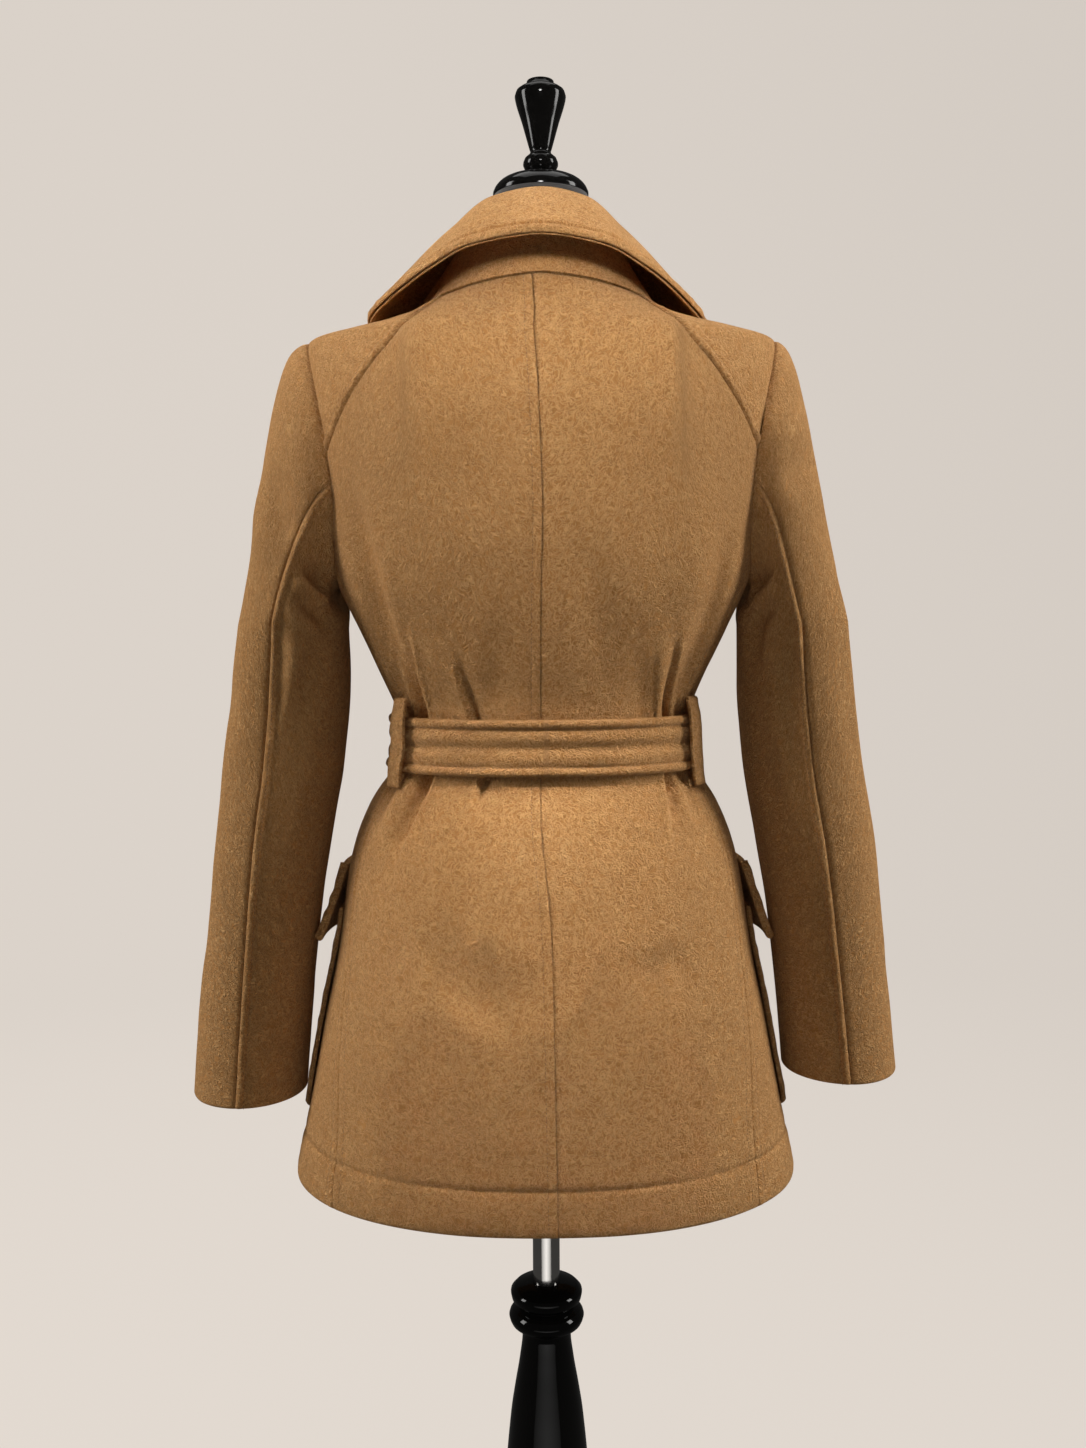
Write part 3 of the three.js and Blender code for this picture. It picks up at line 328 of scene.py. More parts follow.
def noise(points, size, seed):
    """Soft noise from -1 to 1 whose bumps are about `size` mm across."""
    place = np.asarray(points, float) / size + seed * 7.31
    cell = np.floor(place).astype(np.int64)
    part = place - cell
    part = part**3 * (part * (part * 6 - 15) + 10)
    total = 0
    for x in (0, 1):
        for y in (0, 1):
            for z in (0, 1):
                corner = np.array((x, y, z))
                weight = np.prod(np.where(corner == 1, part, 1 - part), axis=-1)
                total = total + weight * lattice(cell + corner, seed)
    return total


def spline(knots, count):
    """Points spread evenly along a smooth line through the knots."""
    knots = np.asarray(knots, float)
    reach = np.concatenate([[0], np.cumsum(np.linalg.norm(np.diff(knots, axis=0), axis=1))])
    fine = np.linspace(0, reach[-1], count * 4)
    columns = [Natural(reach, knots[:, i])(fine) for i in range(knots.shape[1])]
    return evened(np.stack(columns, axis=1), count)


class Natural:
    """A cubic through every knot with an even bend, for lines that may swing past a row."""

    def __init__(self, at, value):
        self.at, self.value = np.asarray(at, float), np.asarray(value, float)
        count = len(self.at)
        step = np.diff(self.at)
        system, pull = np.eye(count), np.zeros(count)
        for i in range(1, count - 1):
            system[i, i - 1 : i + 2] = step[i - 1], 2 * (step[i - 1] + step[i]), step[i]
            rise = np.diff(self.value)[i - 1 : i + 1] / step[i - 1 : i + 1]
            pull[i] = 6 * (rise[1] - rise[0])
        self.bend = np.linalg.solve(system, pull)

    def __call__(self, position):
        i = np.clip(np.searchsorted(self.at, position) - 1, 0, len(self.at) - 2)
        step = self.at[i + 1] - self.at[i]
        low, high = (self.at[i + 1] - position) / step, (position - self.at[i]) / step
        curved = (low**3 - low) * self.bend[i] + (high**3 - high) * self.bend[i + 1]
        return low * self.value[i] + high * self.value[i + 1] + curved * step**2 / 6


def arc(line):
    """Distance along a line of points, from its first."""
    return np.concatenate([[0], np.cumsum(np.linalg.norm(np.diff(line, axis=0), axis=1))])


def along(line, places):
    """The points at given distances along a line."""
    reach = arc(line)
    return np.stack([np.interp(places, reach, line[:, i]) for i in range(3)], axis=1)


def evened(line, count):
    reach = arc(line)
    places = np.linspace(0, reach[-1], count)
    return np.stack([np.interp(places, reach, line[:, i]) for i in range(line.shape[1])], axis=1)


# Distances from an edge at which cloth has its rows, close together where it is rolled or sewn.
SEWN = (0, 0.6, 1.3, 2.2, 3.3, 4.5, 5.6, 6.4, 7, 7.6, 8.4, 9.8, 12)
PLAIN = (0, 0.6, 1.3, 2.2, 3.3, 4.6, 6.2, 8.4, 11)
BARE = (0,)


def spaced(length, first, last, middle):
    """Distances over `length`: close rows at each end and `middle` even ones between."""
    most = length * 0.42
    first = np.asarray(first) * min(1, most / max(first[-1], 1e-9))
    last = np.asarray(last) * min(1, most / max(last[-1], 1e-9))
    between = np.linspace(first[-1], length - last[-1], middle + 2)[1:-1]
    return np.concatenate([first, between, length - last[::-1]])


# ---------------------------------------------------------------- forms


class Form:
    """A stack of rounded oval sections. Its surface is given by angle and height."""

    STEP = 0.5
    CORE = 1240  # rays to the shoulders start here on the axis, lower ones at their own height

    def __init__(self, rows, soften=0, soft_below=0):
        rows = np.asarray(rows, float)
        self.z = np.arange(rows[0, 0], rows[-1, 0] + self.STEP, self.STEP)
        self.tables = {}
        for name, column in (("side", 1), ("back", 2), ("front", 3), ("power", 4)):
            value = Curve(rows[:, 0], rows[:, column])(self.z)
            if soften:
                offsets = np.arange(-3 * soften, 3 * soften + self.STEP, self.STEP)
                weights = np.exp(-((offsets / soften) ** 2) / 2)
                padded = np.pad(value, len(offsets) // 2, mode="reflect", reflect_type="odd")
                even = np.convolve(padded, weights / weights.sum(), "valid")
                value = lerp(even, value, smooth(self.z, soft_below, soft_below + 18))
            self.tables[name] = value

    def read(self, name, z):
        return np.interp(z, self.z, self.tables[name])

    def point(self, angle, z):
        turn, z = np.broadcast_arrays(np.radians(angle), np.asarray(z, float))
        sine, cosine = np.sin(turn), np.cos(turn)
        bend = 2 / self.read("power", z)
        depth = np.where(cosine > 0, self.read("back", z), self.read("front", z))
        across = np.sign(sine) * np.abs(sine) ** bend * self.read("side", z)
        return np.stack([across, np.sign(cosine) * np.abs(cosine) ** bend * depth, z], axis=-1)

    def angle_across(self, x, z):
        """The angle of the point at a distance `x` across, on the back."""
        part = np.abs(x) / self.read("side", z)
        sine = np.clip(part, 0, 1) ** (self.read("power", z) / 2)
        return np.sign(x) * np.degrees(np.arcsin(sine))

    def angle_of(self, points):
        """The angle of points on the form."""
        x, y, z = np.moveaxis(np.asarray(points), -1, 0)
        bend = self.read("power", z) / 2
        depth = np.where(y > 0, self.read("back", z), self.read("front", z))
        across = np.sign(x) * np.abs(x / self.read("side", z)) ** bend
        return np.degrees(np.arctan2(across, np.sign(y) * np.abs(y / depth) ** bend))

    def level(self, points):
        """Below 0 inside the form and above 0 outside it."""
        x, y, z = np.moveaxis(np.asarray(points), -1, 0)
        power = self.read("power", z)
        depth = np.where(y > 0, self.read("back", z), self.read("front", z))
        across = (np.abs(x) / self.read("side", z)) ** power
        return (across + (np.abs(y) / depth) ** power) ** (1 / power) - 1

    def onto(self, points):
        """Moves points onto the form, along their rays from its core."""
        core = np.zeros_like(points)
        core[..., 2] = np.minimum(points[..., 2], self.CORE)
        ray = points - core
        low = np.full(points.shape[:-1], 0.4)
        high = np.full(points.shape[:-1], 1.8)
        for _ in range(22):
            middle = (low + high) / 2
            inside = self.level(core + ray * middle[..., None]) < 0
            low = np.where(inside, middle, low)
            high = np.where(inside, high, middle)
        return core + ray * low[..., None]

    def normal(self, points):
        reach = 1.5
        slopes = []
        for axis in range(3):
            shift = np.zeros(3)
            shift[axis] = reach
            slopes.append(self.level(points + shift) - self.level(points - shift))
        return unit(np.stack(slopes, axis=-1))


body = Form(BODY, soften=5, soft_below=1318)
torso = Form(TORSO, soften=4, soft_below=1325)

centre_back_angle = Curve(*zip(*CENTRE_BACK))
side_back_angle = Curve(*zip(*SIDE_BACK))
side_angle = Curve(*zip(*SIDE))
neck_level_left = Curve(*zip(*NECKLINE))


def neck_level(angle):
    return neck_level_left(np.abs(angle))


def armhole(sign, degrees_round):
    """The armhole's edge, by degrees round it: 0 at the shoulder, 90 at the back."""
    turn = np.radians(degrees_round)
    reach = np.where(np.sin(turn) > 0, ARMHOLE_BACK, ARMHOLE_FRONT)
    angle = sign * (90 - reach * np.sin(turn))
    return body.point(angle, ARMHOLE_LEVEL + ARMHOLE_HEIGHT * np.cos(turn))


def neckline(start, end, count=60):
    angles = np.linspace(start, end, count)
    return body.point(angles, neck_level(angles))


def yoke_start(rows, at_back):
    angle = float(body.angle_across(*rows[0]))
    return angle if at_back else 180 - angle


def yoke_seam(sign, rows, at_back, end):
    """A yoke seam from the neckline to the armhole, at the back or the front."""
    start = yoke_start(rows, at_back)
    knots = [body.point(start, neck_level(start)) * (sign, 1, 1)]
    for x, z in rows[1:-1]:
        angle = float(body.angle_across(x, z))
        knots.append(body.point(sign * (angle if at_back else 180 - angle), z))
    knots.append(armhole(sign, end))
    return body.onto(spline(knots, 120))


def hung(points):
    """Lifts points of the skirt to the curve that the hem hangs in."""
    z = points[..., 2]
    angle = body.angle_of(points)
    rise = lerp(HEM_RISE["centre"], HEM_RISE["side"], np.sin(np.radians(angle)) ** 2)
    rise = rise * (1 - smooth(z, HEM_RISE["from"], HEM_RISE["to"]))
    return np.where((z < HEM_RISE["to"])[..., None], body.point(angle, z + rise), points)


def joined(*lines):
    return np.concatenate([lines[0]] + [line[1:] for line in lines[1:]])


def lap_lift(points):
    """How far the right front is lifted over the left one."""
    wall = lerp(HEM_WALL, CLOTH, smooth(points[..., 2], HEM_TOP, HEM_TOP + LAP_HEM_FADE))
    lift = (wall + LAP_EASE) * smooth(points[..., 0], *LAP_RAMP)
    return np.where(points[..., 1] > 0, 0, lift)


# ---------------------------------------------------------------- folds

# Folds of the body: side (back or front), points as (x, z), width, depth, ridge beside it, how
# much of its length it takes to fade in and out, and which side of it is the steep one. Each is
# a soft trough with a rise on each side.
BODY_FOLDS = (
    ("back", ((152, 1246), (137, 1190), (122, 1130), (100, 1042)), 10, 6.5, 0.35, 0.25, 0.3, -0.4),
    ("back", ((106, 1140), (101, 1096), (90, 1038)), 4.3, 8.2, 0.4, 0.6, 0.04, -0.9),
    ("back", ((66, 1112), (61, 1082), (48, 1040)), 3.9, 4.6, 0.35, 0.6, 0.04, 0.85),
    ("back", ((118, 1112), (113, 1084), (101, 1040)), 5, 4, 0.3, 0.5, 0.1, -0.5),
    ("back", ((-148, 1222), (-136, 1160), (-118, 1100), (-98, 1042)), 10, 5, 0.3, 0.3, 0.3, -0.4),
    ("back", ((-103, 1136), (-101, 1092), (-98, 1038)), 3.3, 5.8, 0.4, 0.6, 0.04, -0.9),
    ("back", ((-66, 1150), (-72, 1095), (-79, 1040)), 9, 1.5, 0.3, 0.7, 0.1, -0.3),
    ("back", ((85, 1030), (98, 988), (112, 956), (122, 920)), 5, 9.5, 0.35, 0.03, 0.75, -0.85),
    ("back", ((42, 1029), (47, 1002), (51, 980)), 3.8, 5.5, 0.3, 0.04, 0.75, 0.85),
    ("back", ((108, 1026), (122, 990), (134, 960)), 6, 5, 0.3, 0.08, 0.7, -0.5),
    ("back", ((-97, 1030), (-98, 990), (-99, 950)), 3.8, 7, 0.35, 0.03, 0.75, 0.85),
    ("back", ((-102, 1026), (-114, 990), (-122, 960)), 6, 3.5, 0.3, 0.08, 0.7, 0.4),
    ("back", ((96, 905), (70, 870), (40, 846), (8, 822)), 17, 4.2, 0.3, 0.3, 0.4, 0.4),
    ("back", ((-116, 884), (-88, 872), (-56, 862)), 15, 3.4, 0.3, 0.4, 0.4, 0.4),
    ("back", ((24, 1150), (34, 1100), (36, 1060)), 13, 2, 0.25, 0.5, 0.2, 0.3),
    ("back", ((-20, 1210), (-40, 1140), (-52, 1064)), 15, 1.8, 0.2, 0.4, 0.2, 0),
    ("back", ((92, 1290), (70, 1240), (58, 1180)), 22, 1.8, 0.2, 0.4, 0.4, 0),
    ("back", ((-100, 1280), (-84, 1230), (-80, 1180)), 22, 1.6, 0.2, 0.4, 0.4, 0),
    ("front", ((118, 1010), (126, 960), (132, 900)), 9, 6, 0.3, 0.1, 0.6, 0.5),
    ("front", ((-116, 1010), (-124, 965), (-128, 915)), 9, 5, 0.3, 0.1, 0.6, -0.5),
    ("front", ((76, 1008), (84, 970), (88, 930)), 8, 4.5, 0.3, 0.1, 0.6, 0.5),
    ("front", ((-72, 1008), (-80, 975), (-86, 940)), 8, 4, 0.3, 0.1, 0.6, -0.5),
    ("front", ((112, 1058), (120, 1100), (130, 1150)), 8, 4.5, 0.3, 0.1, 0.6, 0.4),
    ("front", ((-108, 1058), (-116, 1095), (-128, 1140)), 8, 4, 0.3, 0.1, 0.6, -0.4),
    ("front", ((76, 1058), (88, 1110), (104, 1170)), 10, 3, 0.3, 0.1, 0.6, 0.3),
)


def fold_relief(points, normals, path, width, depth, ridge, fade_in, fade_out, lean):
    """Height of one fold over a surface, 0 away from it and negative in its trough."""
    relief = np.zeros(points.shape[:-1])
    reach = width * 3.6
    low, high = path.min(axis=0) - reach, path.max(axis=0) + reach
    near = np.all((points > low) & (points < high), axis=-1)
    if not near.any():
        return relief
    here, facing = points[near], normals[near]
    offset = here[:, None, :] - path[None]
    nearest = np.argmin(np.einsum("ijk,ijk->ij", offset, offset), axis=1)
    offset = offset[np.arange(len(here)), nearest]
    tangent = unit(np.gradient(path, axis=0))[nearest]
    across = np.einsum("ij,ij->i", np.cross(tangent, facing), offset) / width
    across = across * (1 + 0.55 * lean * np.tanh(2.5 * across))
    past = np.einsum("ij,ij->i", tangent, offset) / width
    part = nearest / (len(path) - 1)
    fade = smooth(part, 0, fade_in) * (1 - smooth(part, 1 - fade_out, 1)) * np.exp(-(past**2))
    trough = -np.exp(-(across**2))
    rise = np.exp(-(((across - 1.9) / 1.1) ** 2)) + 0.6 * np.exp(-(((across + 1.8) / 1.0) ** 2))
    relief[near] = depth * fade * (trough + ridge * rise)
    return relief


def fold_path(face, knots):
    """A fold's line on the body, from its points across and up."""
    angles = [float(body.angle_across(x, z)) for x, z in knots]
    if face == "front":
        angles = [180 - angle for angle in angles]
    heights = [z for _, z in knots]
    return spline(body.point(np.array(angles), np.array(heights, float)), 70)


FOLD_PATHS = [(fold_path(face, knots), rest) for face, knots, *rest in BODY_FOLDS]


def body_relief(points, normals):
    """The folds and the soft unevenness of the coat's body, which all its panels share."""
    total = 0.7 * noise(points, 95, 3) + 0.35 * noise(points, 38, 5)
    calm = smooth(np.abs(points[..., 2] - BELT_LEVEL), 20, 60)
    total = total * calm
    for path, shape in FOLD_PATHS:
        total = total + fold_relief(points, normals, path, *shape)
    deepest = lerp(-8.5, -11, smooth(BELT_LEVEL - points[..., 2], 10, 30))
    return np.clip(total, deepest, 2.2)


# ---------------------------------------------------------------- sewing details


def edge_gap(grid, side, reach=26, window=7):
    """Distance of each point of a grid from one of its edges, over its nearest lines."""
    views = {"start": grid, "end": grid[:, ::-1], "foot": grid.swapaxes(0, 1)}
    view = views.get(side)
    if side == "head":
        view = grid[::-1].swapaxes(0, 1)
    edge = view[:, 0]
    block = view[:, :reach]
    best = np.full(block.shape[:2], 1e9)
    rows = np.arange(len(edge))
    for shift in range(-window, window):
        a = edge[np.clip(rows + shift, 0, len(edge) - 1)][:, None]
        b = edge[np.clip(rows + shift + 1, 0, len(edge) - 1)][:, None]
        span = b - a
        size = np.maximum((span**2).sum(axis=-1), 1e-9)
        part = np.clip(((block - a) * span).sum(axis=-1) / size, 0, 1)
        best = np.minimum(best, np.linalg.norm(block - a - span * part[..., None], axis=-1))
    gap = np.full(view.shape[:2], 1e3)
    gap[:, :reach] = best
    if side == "end":
        return gap[:, ::-1]
    if side == "foot":
        return gap.T
    return gap.T[::-1] if side == "head" else gap


# How a sewn edge is shaped: how deep and wide it rolls into its seam, and the height of the welt
# and the depth of the line of stitches at its far side.
SEAM_KINDS = {
    "plain": {"roll": 0.9, "width": 0.9, "welt": 0, "stitch": 0},
    "dart": {"roll": 0.45, "width": 0.8, "welt": 0, "stitch": 0.15},
    "stitched": {"roll": 0.75, "width": 0.8, "welt": 0.1, "stitch": 0.35},
    "welted": {"roll": 1.2, "width": 1.0, "welt": 1.5, "stitch": 0.8},
}
STITCH_LINE = 7  # distance of a line of topstitches from its seam


def seam_relief(gap, kind, points, seed):
    """Height of a sewn edge at a distance from its seam."""
    shape = SEAM_KINDS[kind]
    pull = 1 + 0.35 * noise(points, 7, seed) + 0.25 * noise(points, 19, seed + 1)
    rolled = -shape["roll"] * np.exp(-((gap / shape["width"]) ** 2))
    part = np.clip(gap / STITCH_LINE, 0, 1)
    welt = shape["welt"] * np.sin(np.pi * part) ** 0.8 * (gap < STITCH_LINE)
    sunk = -shape["stitch"] * np.exp(-(((gap - STITCH_LINE) / 1.1) ** 2)) * pull
    eased = 0.35 * shape["roll"] * np.exp(-(((gap - 4.5) / 3) ** 2)) * pull
    return rolled + welt * pull + sunk + eased


def free_edge(gap, wall):
    """How much of the wall's thickness is left at a distance from a rounded free edge."""
    part = np.clip(gap / (wall * 0.55), 0, 1)
    return np.maximum(np.sqrt(np.maximum(1 - (1 - part) ** 2, 0)), 0.2)


# ---------------------------------------------------------------- meshes


def mesh_object(name, points, faces, uv=None):
    """An object at the origin from points in millimetres."""
    mesh = bpy.data.meshes.new(name)
    mesh.from_pydata((np.asarray(points) * METRES).tolist(), [], faces)
    if uv is not None:
        layer = mesh.uv_layers.new(name="cloth")
        corner = np.empty(len(mesh.loops), dtype=np.int32)
        mesh.loops.foreach_get("vertex_index", corner)
        layer.data.foreach_set("uv", (uv[corner] * METRES).astype(np.float32).ravel())
    mesh.update()
    mesh.shade_smooth()
    made = bpy.data.objects.new(name, mesh)
    bpy.context.scene.collection.objects.link(made)
    return made


def outward(points, faces):
    """The faces, turned round if they enclose a negative volume."""
    triangles = np.array([face[:3] for face in faces])
    quads = np.array([(face[0], face[2], face[3]) for face in faces if len(face) == 4])
    triangles = np.concatenate([triangles, quads]) if len(quads) else triangles
    a, b, c = (points[triangles[:, i]] for i in range(3))
    if np.einsum("ij,ij->i", a, np.cross(b, c)).sum() < 0:
        return [tuple(reversed(face)) for face in faces]
    return faces


def grid_uv(grid):
    """Distances over a grid of points along its rows and columns, in millimetres."""
    across = np.linalg.norm(np.diff(grid, axis=1), axis=2)
    u = np.concatenate([np.zeros((len(grid), 1)), np.cumsum(across, axis=1)], axis=1)
    u = u - u.mean(axis=1, keepdims=True)
    down = np.linalg.norm(np.diff(grid, axis=0), axis=2).mean(axis=1)
    v = np.concatenate([[0], np.cumsum(down)])
    return np.stack([u, np.broadcast_to(v[:, None], u.shape)], axis=-1)


def shell(name, outer, inner, ring=False, ply_groove=0):
    """A closed wall between two equal grids. A ply groove runs round the middle of its rim."""
    rows, columns = outer.shape[:2]
    index = np.arange(rows * columns).reshape(rows, columns)
    last = columns if ring else columns - 1
    nxt = (np.arange(last) + 1) % columns
    faces = []
    a, b = index[:-1, :last], index[:-1][:, nxt]
    c, d = index[1:][:, nxt], index[1:, :last]
    quads = np.stack([a, b, c, d], axis=-1).reshape(-1, 4)
    faces += quads.tolist()
    faces += (quads[:, ::-1] + rows * columns).tolist()
    flat = [outer.reshape(-1, 3), inner.reshape(-1, 3)]
    uv = grid_uv(outer)
    uvs = [uv.reshape(-1, 2)] * 2
    if ring:
        loops = [(index[0], index[1], True), (index[-1][::-1], index[-2][::-1], True)]
    else:
        around = [index[0, ::-1], index[1:, 0], index[-1, 1:], index[1:-1, -1][::-1]]
        deeper = [index[1, ::-1], index[1:, 1], index[-2, 1:], index[1:-1, -2][::-1]]
        loops = [(np.concatenate(around), np.concatenate(deeper), True)]
    count = 2 * rows * columns
    for edge, deeper, _ in loops:
        middle = (flat[0][edge] + flat[1][edge]) / 2
        inward = unit(flat[0][deeper] + flat[1][deeper] - 2 * middle)
        flat.append(middle + inward * ply_groove)
        uvs.append(uvs[0][edge])
        rim = np.arange(len(edge)) + count
        count += len(edge)
        for i in range(len(edge)):
            j = (i + 1) % len(edge)
            faces.append([edge[i], edge[j], rim[j], rim[i]])
            faces.append([rim[i], rim[j], edge[j] + rows * columns, edge[i] + rows * columns])
    points = np.concatenate(flat)
    faces = outward(points, [tuple(int(v) for v in face) for face in faces])
    return mesh_object(name, points, faces, np.concatenate(uvs))


def lathe(name, profile, segments=72):
    """A closed turned solid from a profile of (radius, height), from its foot up."""
    profile = np.asarray(profile, float)
    turns = np.linspace(0, 2 * np.pi, segments, endpoint=False)
    x = profile[:, None, 0] * np.cos(turns)
    y = profile[:, None, 0] * np.sin(turns)
    z = np.broadcast_to(profile[:, None, 1], x.shape)
    points = np.stack([x, y, z], axis=-1).reshape(-1, 3)
    points = np.concatenate([points, [(0, 0, profile[0, 1]), (0, 0, profile[-1, 1])]])
    faces = []
    for row in range(len(profile) - 1):
        for i in range(segments):
            j = (i + 1) % segments
            low, high = row * segments, (row + 1) * segments
            faces.append((low + i, low + j, high + j, high + i))
    top, foot, head = (len(profile) - 1) * segments, len(points) - 2, len(points) - 1
    for i in range(segments):
        j = (i + 1) % segments
        faces += [(foot, j, i), (head, top + i, top + j)]
    made = mesh_object(name, points, outward(points, faces))
    made.data.set_sharp_from_angle(angle=math.radians(38))
    return made


def turned_profile(rows, step=3.0):
    """A smooth profile through a table of radius and height."""
    rows = np.asarray(rows, float)
    heights = np.arange(rows[0, 1], rows[-1, 1], step)
    heights = np.unique(np.concatenate([heights, rows[:, 1]]))
    return np.stack([Curve(rows[:, 1], rows[:, 0])(heights), heights], axis=1)


# ---------------------------------------------------------------- panels of the body


def respaced(line, first, last, middle):
    return along(line, spaced(arc(line)[-1], first, last, middle))


def panel_grid(start_angle, end_angle, start_top, end_top, head, columns, upper_rows, first, last):
    """
    A grid over a body panel: level rows up to the calm level, and above it rows that bend to the
    head's line. The columns lie close together beside the sewn sides.
    """
    heights = np.arange(HEM_LEVEL + 12.5, CALM_LEVEL, 4.1)
    hem = HEM_LEVEL + np.array((0, 0.6, 1.3, 2.2, 3.6, 5.5, 8, 10.5))
    groove = HEM_TOP + np.array((-4, -2.6, -1.5, -0.7, 0, 0.7, 1.5, 2.6, 4))
    heights = heights[np.abs(heights - HEM_TOP) > 5]
    heights = np.sort(np.concatenate([hem, heights, groove, [CALM_LEVEL]]))
    lower = []
    for z in heights:
        angles = np.linspace(start_angle(z), end_angle(z), 90)
        lower.append(respaced(body.point(angles, z), first, last, columns))
    fine = 110
    foot = evened(body.point(np.linspace(start_angle(CALM_LEVEL), end_angle(CALM_LEVEL), 200), CALM_LEVEL), fine)
    upper = coons(foot, evened(head, fine), start_top, end_top, 110)
    return np.concatenate([np.stack(lower), finished(upper, columns, upper_rows, first, last, BARE, PLAIN)[1:]])


def coons(foot, head, start, end, rows):
    """A grid between four edges, on the body's form."""
    start, end = evened(start, rows), evened(end, rows)
    up = np.linspace(0, 1, rows)[:, None, None]
    across = np.linspace(0, 1, len(foot))[None, :, None]
    grid = foot[None] * (1 - up) + head[None] * up + start[:, None] * (1 - across) + end[:, None] * across
    grid -= (foot[0] * (1 - across) + foot[-1] * across) * (1 - up)
    grid -= (head[0] * (1 - across) + head[-1] * across) * up
    return body.onto(grid)


def finished(grid, columns, rows, first, last, low, high):
    """A grid with its lines spread as cloth needs them, back on the body's form."""
    grid = np.stack([respaced(line, low, high, rows) for line in grid.swapaxes(0, 1)], axis=1)
    grid = np.stack([respaced(line, first, last, columns) for line in grid])
    inner = body.onto(grid[1:-1, 1:-1])
    grid[1:-1, 1:-1] = inner
    return grid


def drawn_back(grid, sides):
    """Sewn edges moved in by half the gap that their seam leaves."""
    grid = grid.copy()
    for side in sides:
        edge, inside = {
            "start": ((slice(None), 0), (slice(None), 1)),
            "end": ((slice(None), -1), (slice(None), -2)),
            "head": ((-1,), (-2,)),
            "foot": ((0,), (1,)),
        }[side]
        grid[edge] = grid[edge] + unit(grid[inside] - grid[edge]) * SEAM_GAP / 2
    return grid


def hem_relief(points, z):
    """The turned-up hem: a groove of hidden stitches over a slightly fuller band."""
    groove = -1.0 * np.exp(-(((z - HEM_TOP) / 1.9) ** 2))
    full = 0.9 * smooth(z, HEM_LEVEL, HEM_LEVEL + 8) * (1 - smooth(z, HEM_TOP - 9, HEM_TOP - 1))
    ripple = 1 + 0.4 * noise(points, 9, 11) + 0.3 * noise(points, 24, 12)
    above = 0.3 * np.exp(-(((z - HEM_TOP - 7) / 5) ** 2))
    return (groove + full + above) * ripple


def body_panel(name, grid, seams, lapped=False, free=()):
    """The wall of a body panel. `seams` names how each of its sides is sewn."""
    level = grid[..., 2]
    grid = hung(grid)
    normals = body.normal(grid)
    broad = body_relief(grid, normals)
    if lapped:
        broad = broad + lap_lift(grid)
    fine = np.zeros(grid.shape[:2])
    wall = lerp(HEM_WALL, CLOTH, smooth(level, HEM_TOP - 1, HEM_TOP + 4))
    for number, (side, kind) in enumerate(seams.items()):
        fine = fine + seam_relief(edge_gap(grid, side), kind, grid, 20 + 3 * number)
    fullness = np.ones(grid.shape[:2])
    for side in free:
        fullness = np.minimum(fullness, free_edge(edge_gap(grid, side), wall))
    if "foot" in free:
        fine = fine + hem_relief(grid, level)
    placed = drawn_back(grid, seams)
    middle = placed + normals * (broad - wall / 2)[..., None]
    outer = middle + normals * (wall / 2 * fullness + fine * np.minimum(fullness * 1.5, 1))[..., None]
    inner = middle - normals * (wall / 2 * fullness)[..., None]
    return shell(name, outer, inner, ply_groove=0.0), outer, normals


def back_panel(sign, side):
    start_top = body.point(*centre_line(CALM_LEVEL))
    end_top = joined(side_line(sign, side_back_angle, SIDE_BACK_END), armhole_line(sign, SIDE_BACK_END, YOKE_END))
    start = centre_back_angle(NECK_BACK)
    head = joined(
        neckline(float(start), sign * yoke_start(YOKE_BACK, True)),
        yoke_seam(sign, YOKE_BACK, True, YOKE_END),
    )
    grid = panel_grid(
        centre_back_angle,
        lambda z: sign * side_back_angle(z),
        start_top,
        end_top,
        head,
        76,
        58,
        SEWN,
        SEWN,
    )
    seams = {"start": "stitched" if sign > 0 else "plain", "end": "dart", "head": "plain"}
    return body_panel(f"back_{side}", grid, seams, free=("foot",))


def centre_line(low):
    heights = np.linspace(low, float(neck_level(centre_back_angle(NECK_BACK))), 150)
    return centre_back_angle(heights), heights


def side_line(sign, angle_at, end):
    """A side seam from the calm level up to where it meets the armhole."""
    top = armhole(sign, end)
    heights = np.linspace(CALM_LEVEL, 1146, 24)
    line = body.point(sign * angle_at(heights), heights)
    return joined(line, body.onto(np.linspace(line[-1], top, 20)))


def armhole_line(sign, start, end):
    return armhole(sign, np.linspace(start, end, 90))


def side_back_panel(sign, side):
    grid = panel_grid(
        lambda z: sign * side_back_angle(z),
        lambda z: sign * side_angle(z),
        side_line(sign, side_back_angle, SIDE_BACK_END),
        side_line(sign, side_angle, 180),
        armhole_line(sign, SIDE_BACK_END, 180),
        12,
        16,
        SEWN,
        PLAIN,
    )
    return body_panel(f"side_back_{side}", grid, {"start": "stitched", "end": "plain", "head": "plain"}, free=("foot",))


def front_edge_angle(sign):
    return lambda z: sign * (180 + body.angle_across(FRONT_LAP, z))


def front_panel(sign, side):
    edge = front_edge_angle(sign)
    neck_end = 180 + float(body.angle_across(FRONT_LAP, neck_level(180)))
    heights = np.linspace(CALM_LEVEL, float(neck_level(neck_end)), 150)
    head = joined(
        armhole_line(sign, 180, 360 - YOKE_END),
        yoke_seam(sign, YOKE_FRONT, False, -YOKE_END)[::-1],
        neckline(sign * yoke_start(YOKE_FRONT, False), sign * neck_end),
    )
    grid = panel_grid(
        lambda z: sign * side_angle(z),
        edge,
        side_line(sign, side_angle, 180),
        body.point(edge(heights), heights),
        head,
        62,
        58,
        PLAIN,
        SEWN,
    )
    seams = {"start": "plain", "head": "plain"}
    return body_panel(f"front_{side}", grid, seams, lapped=sign < 0, free=("foot", "end"))


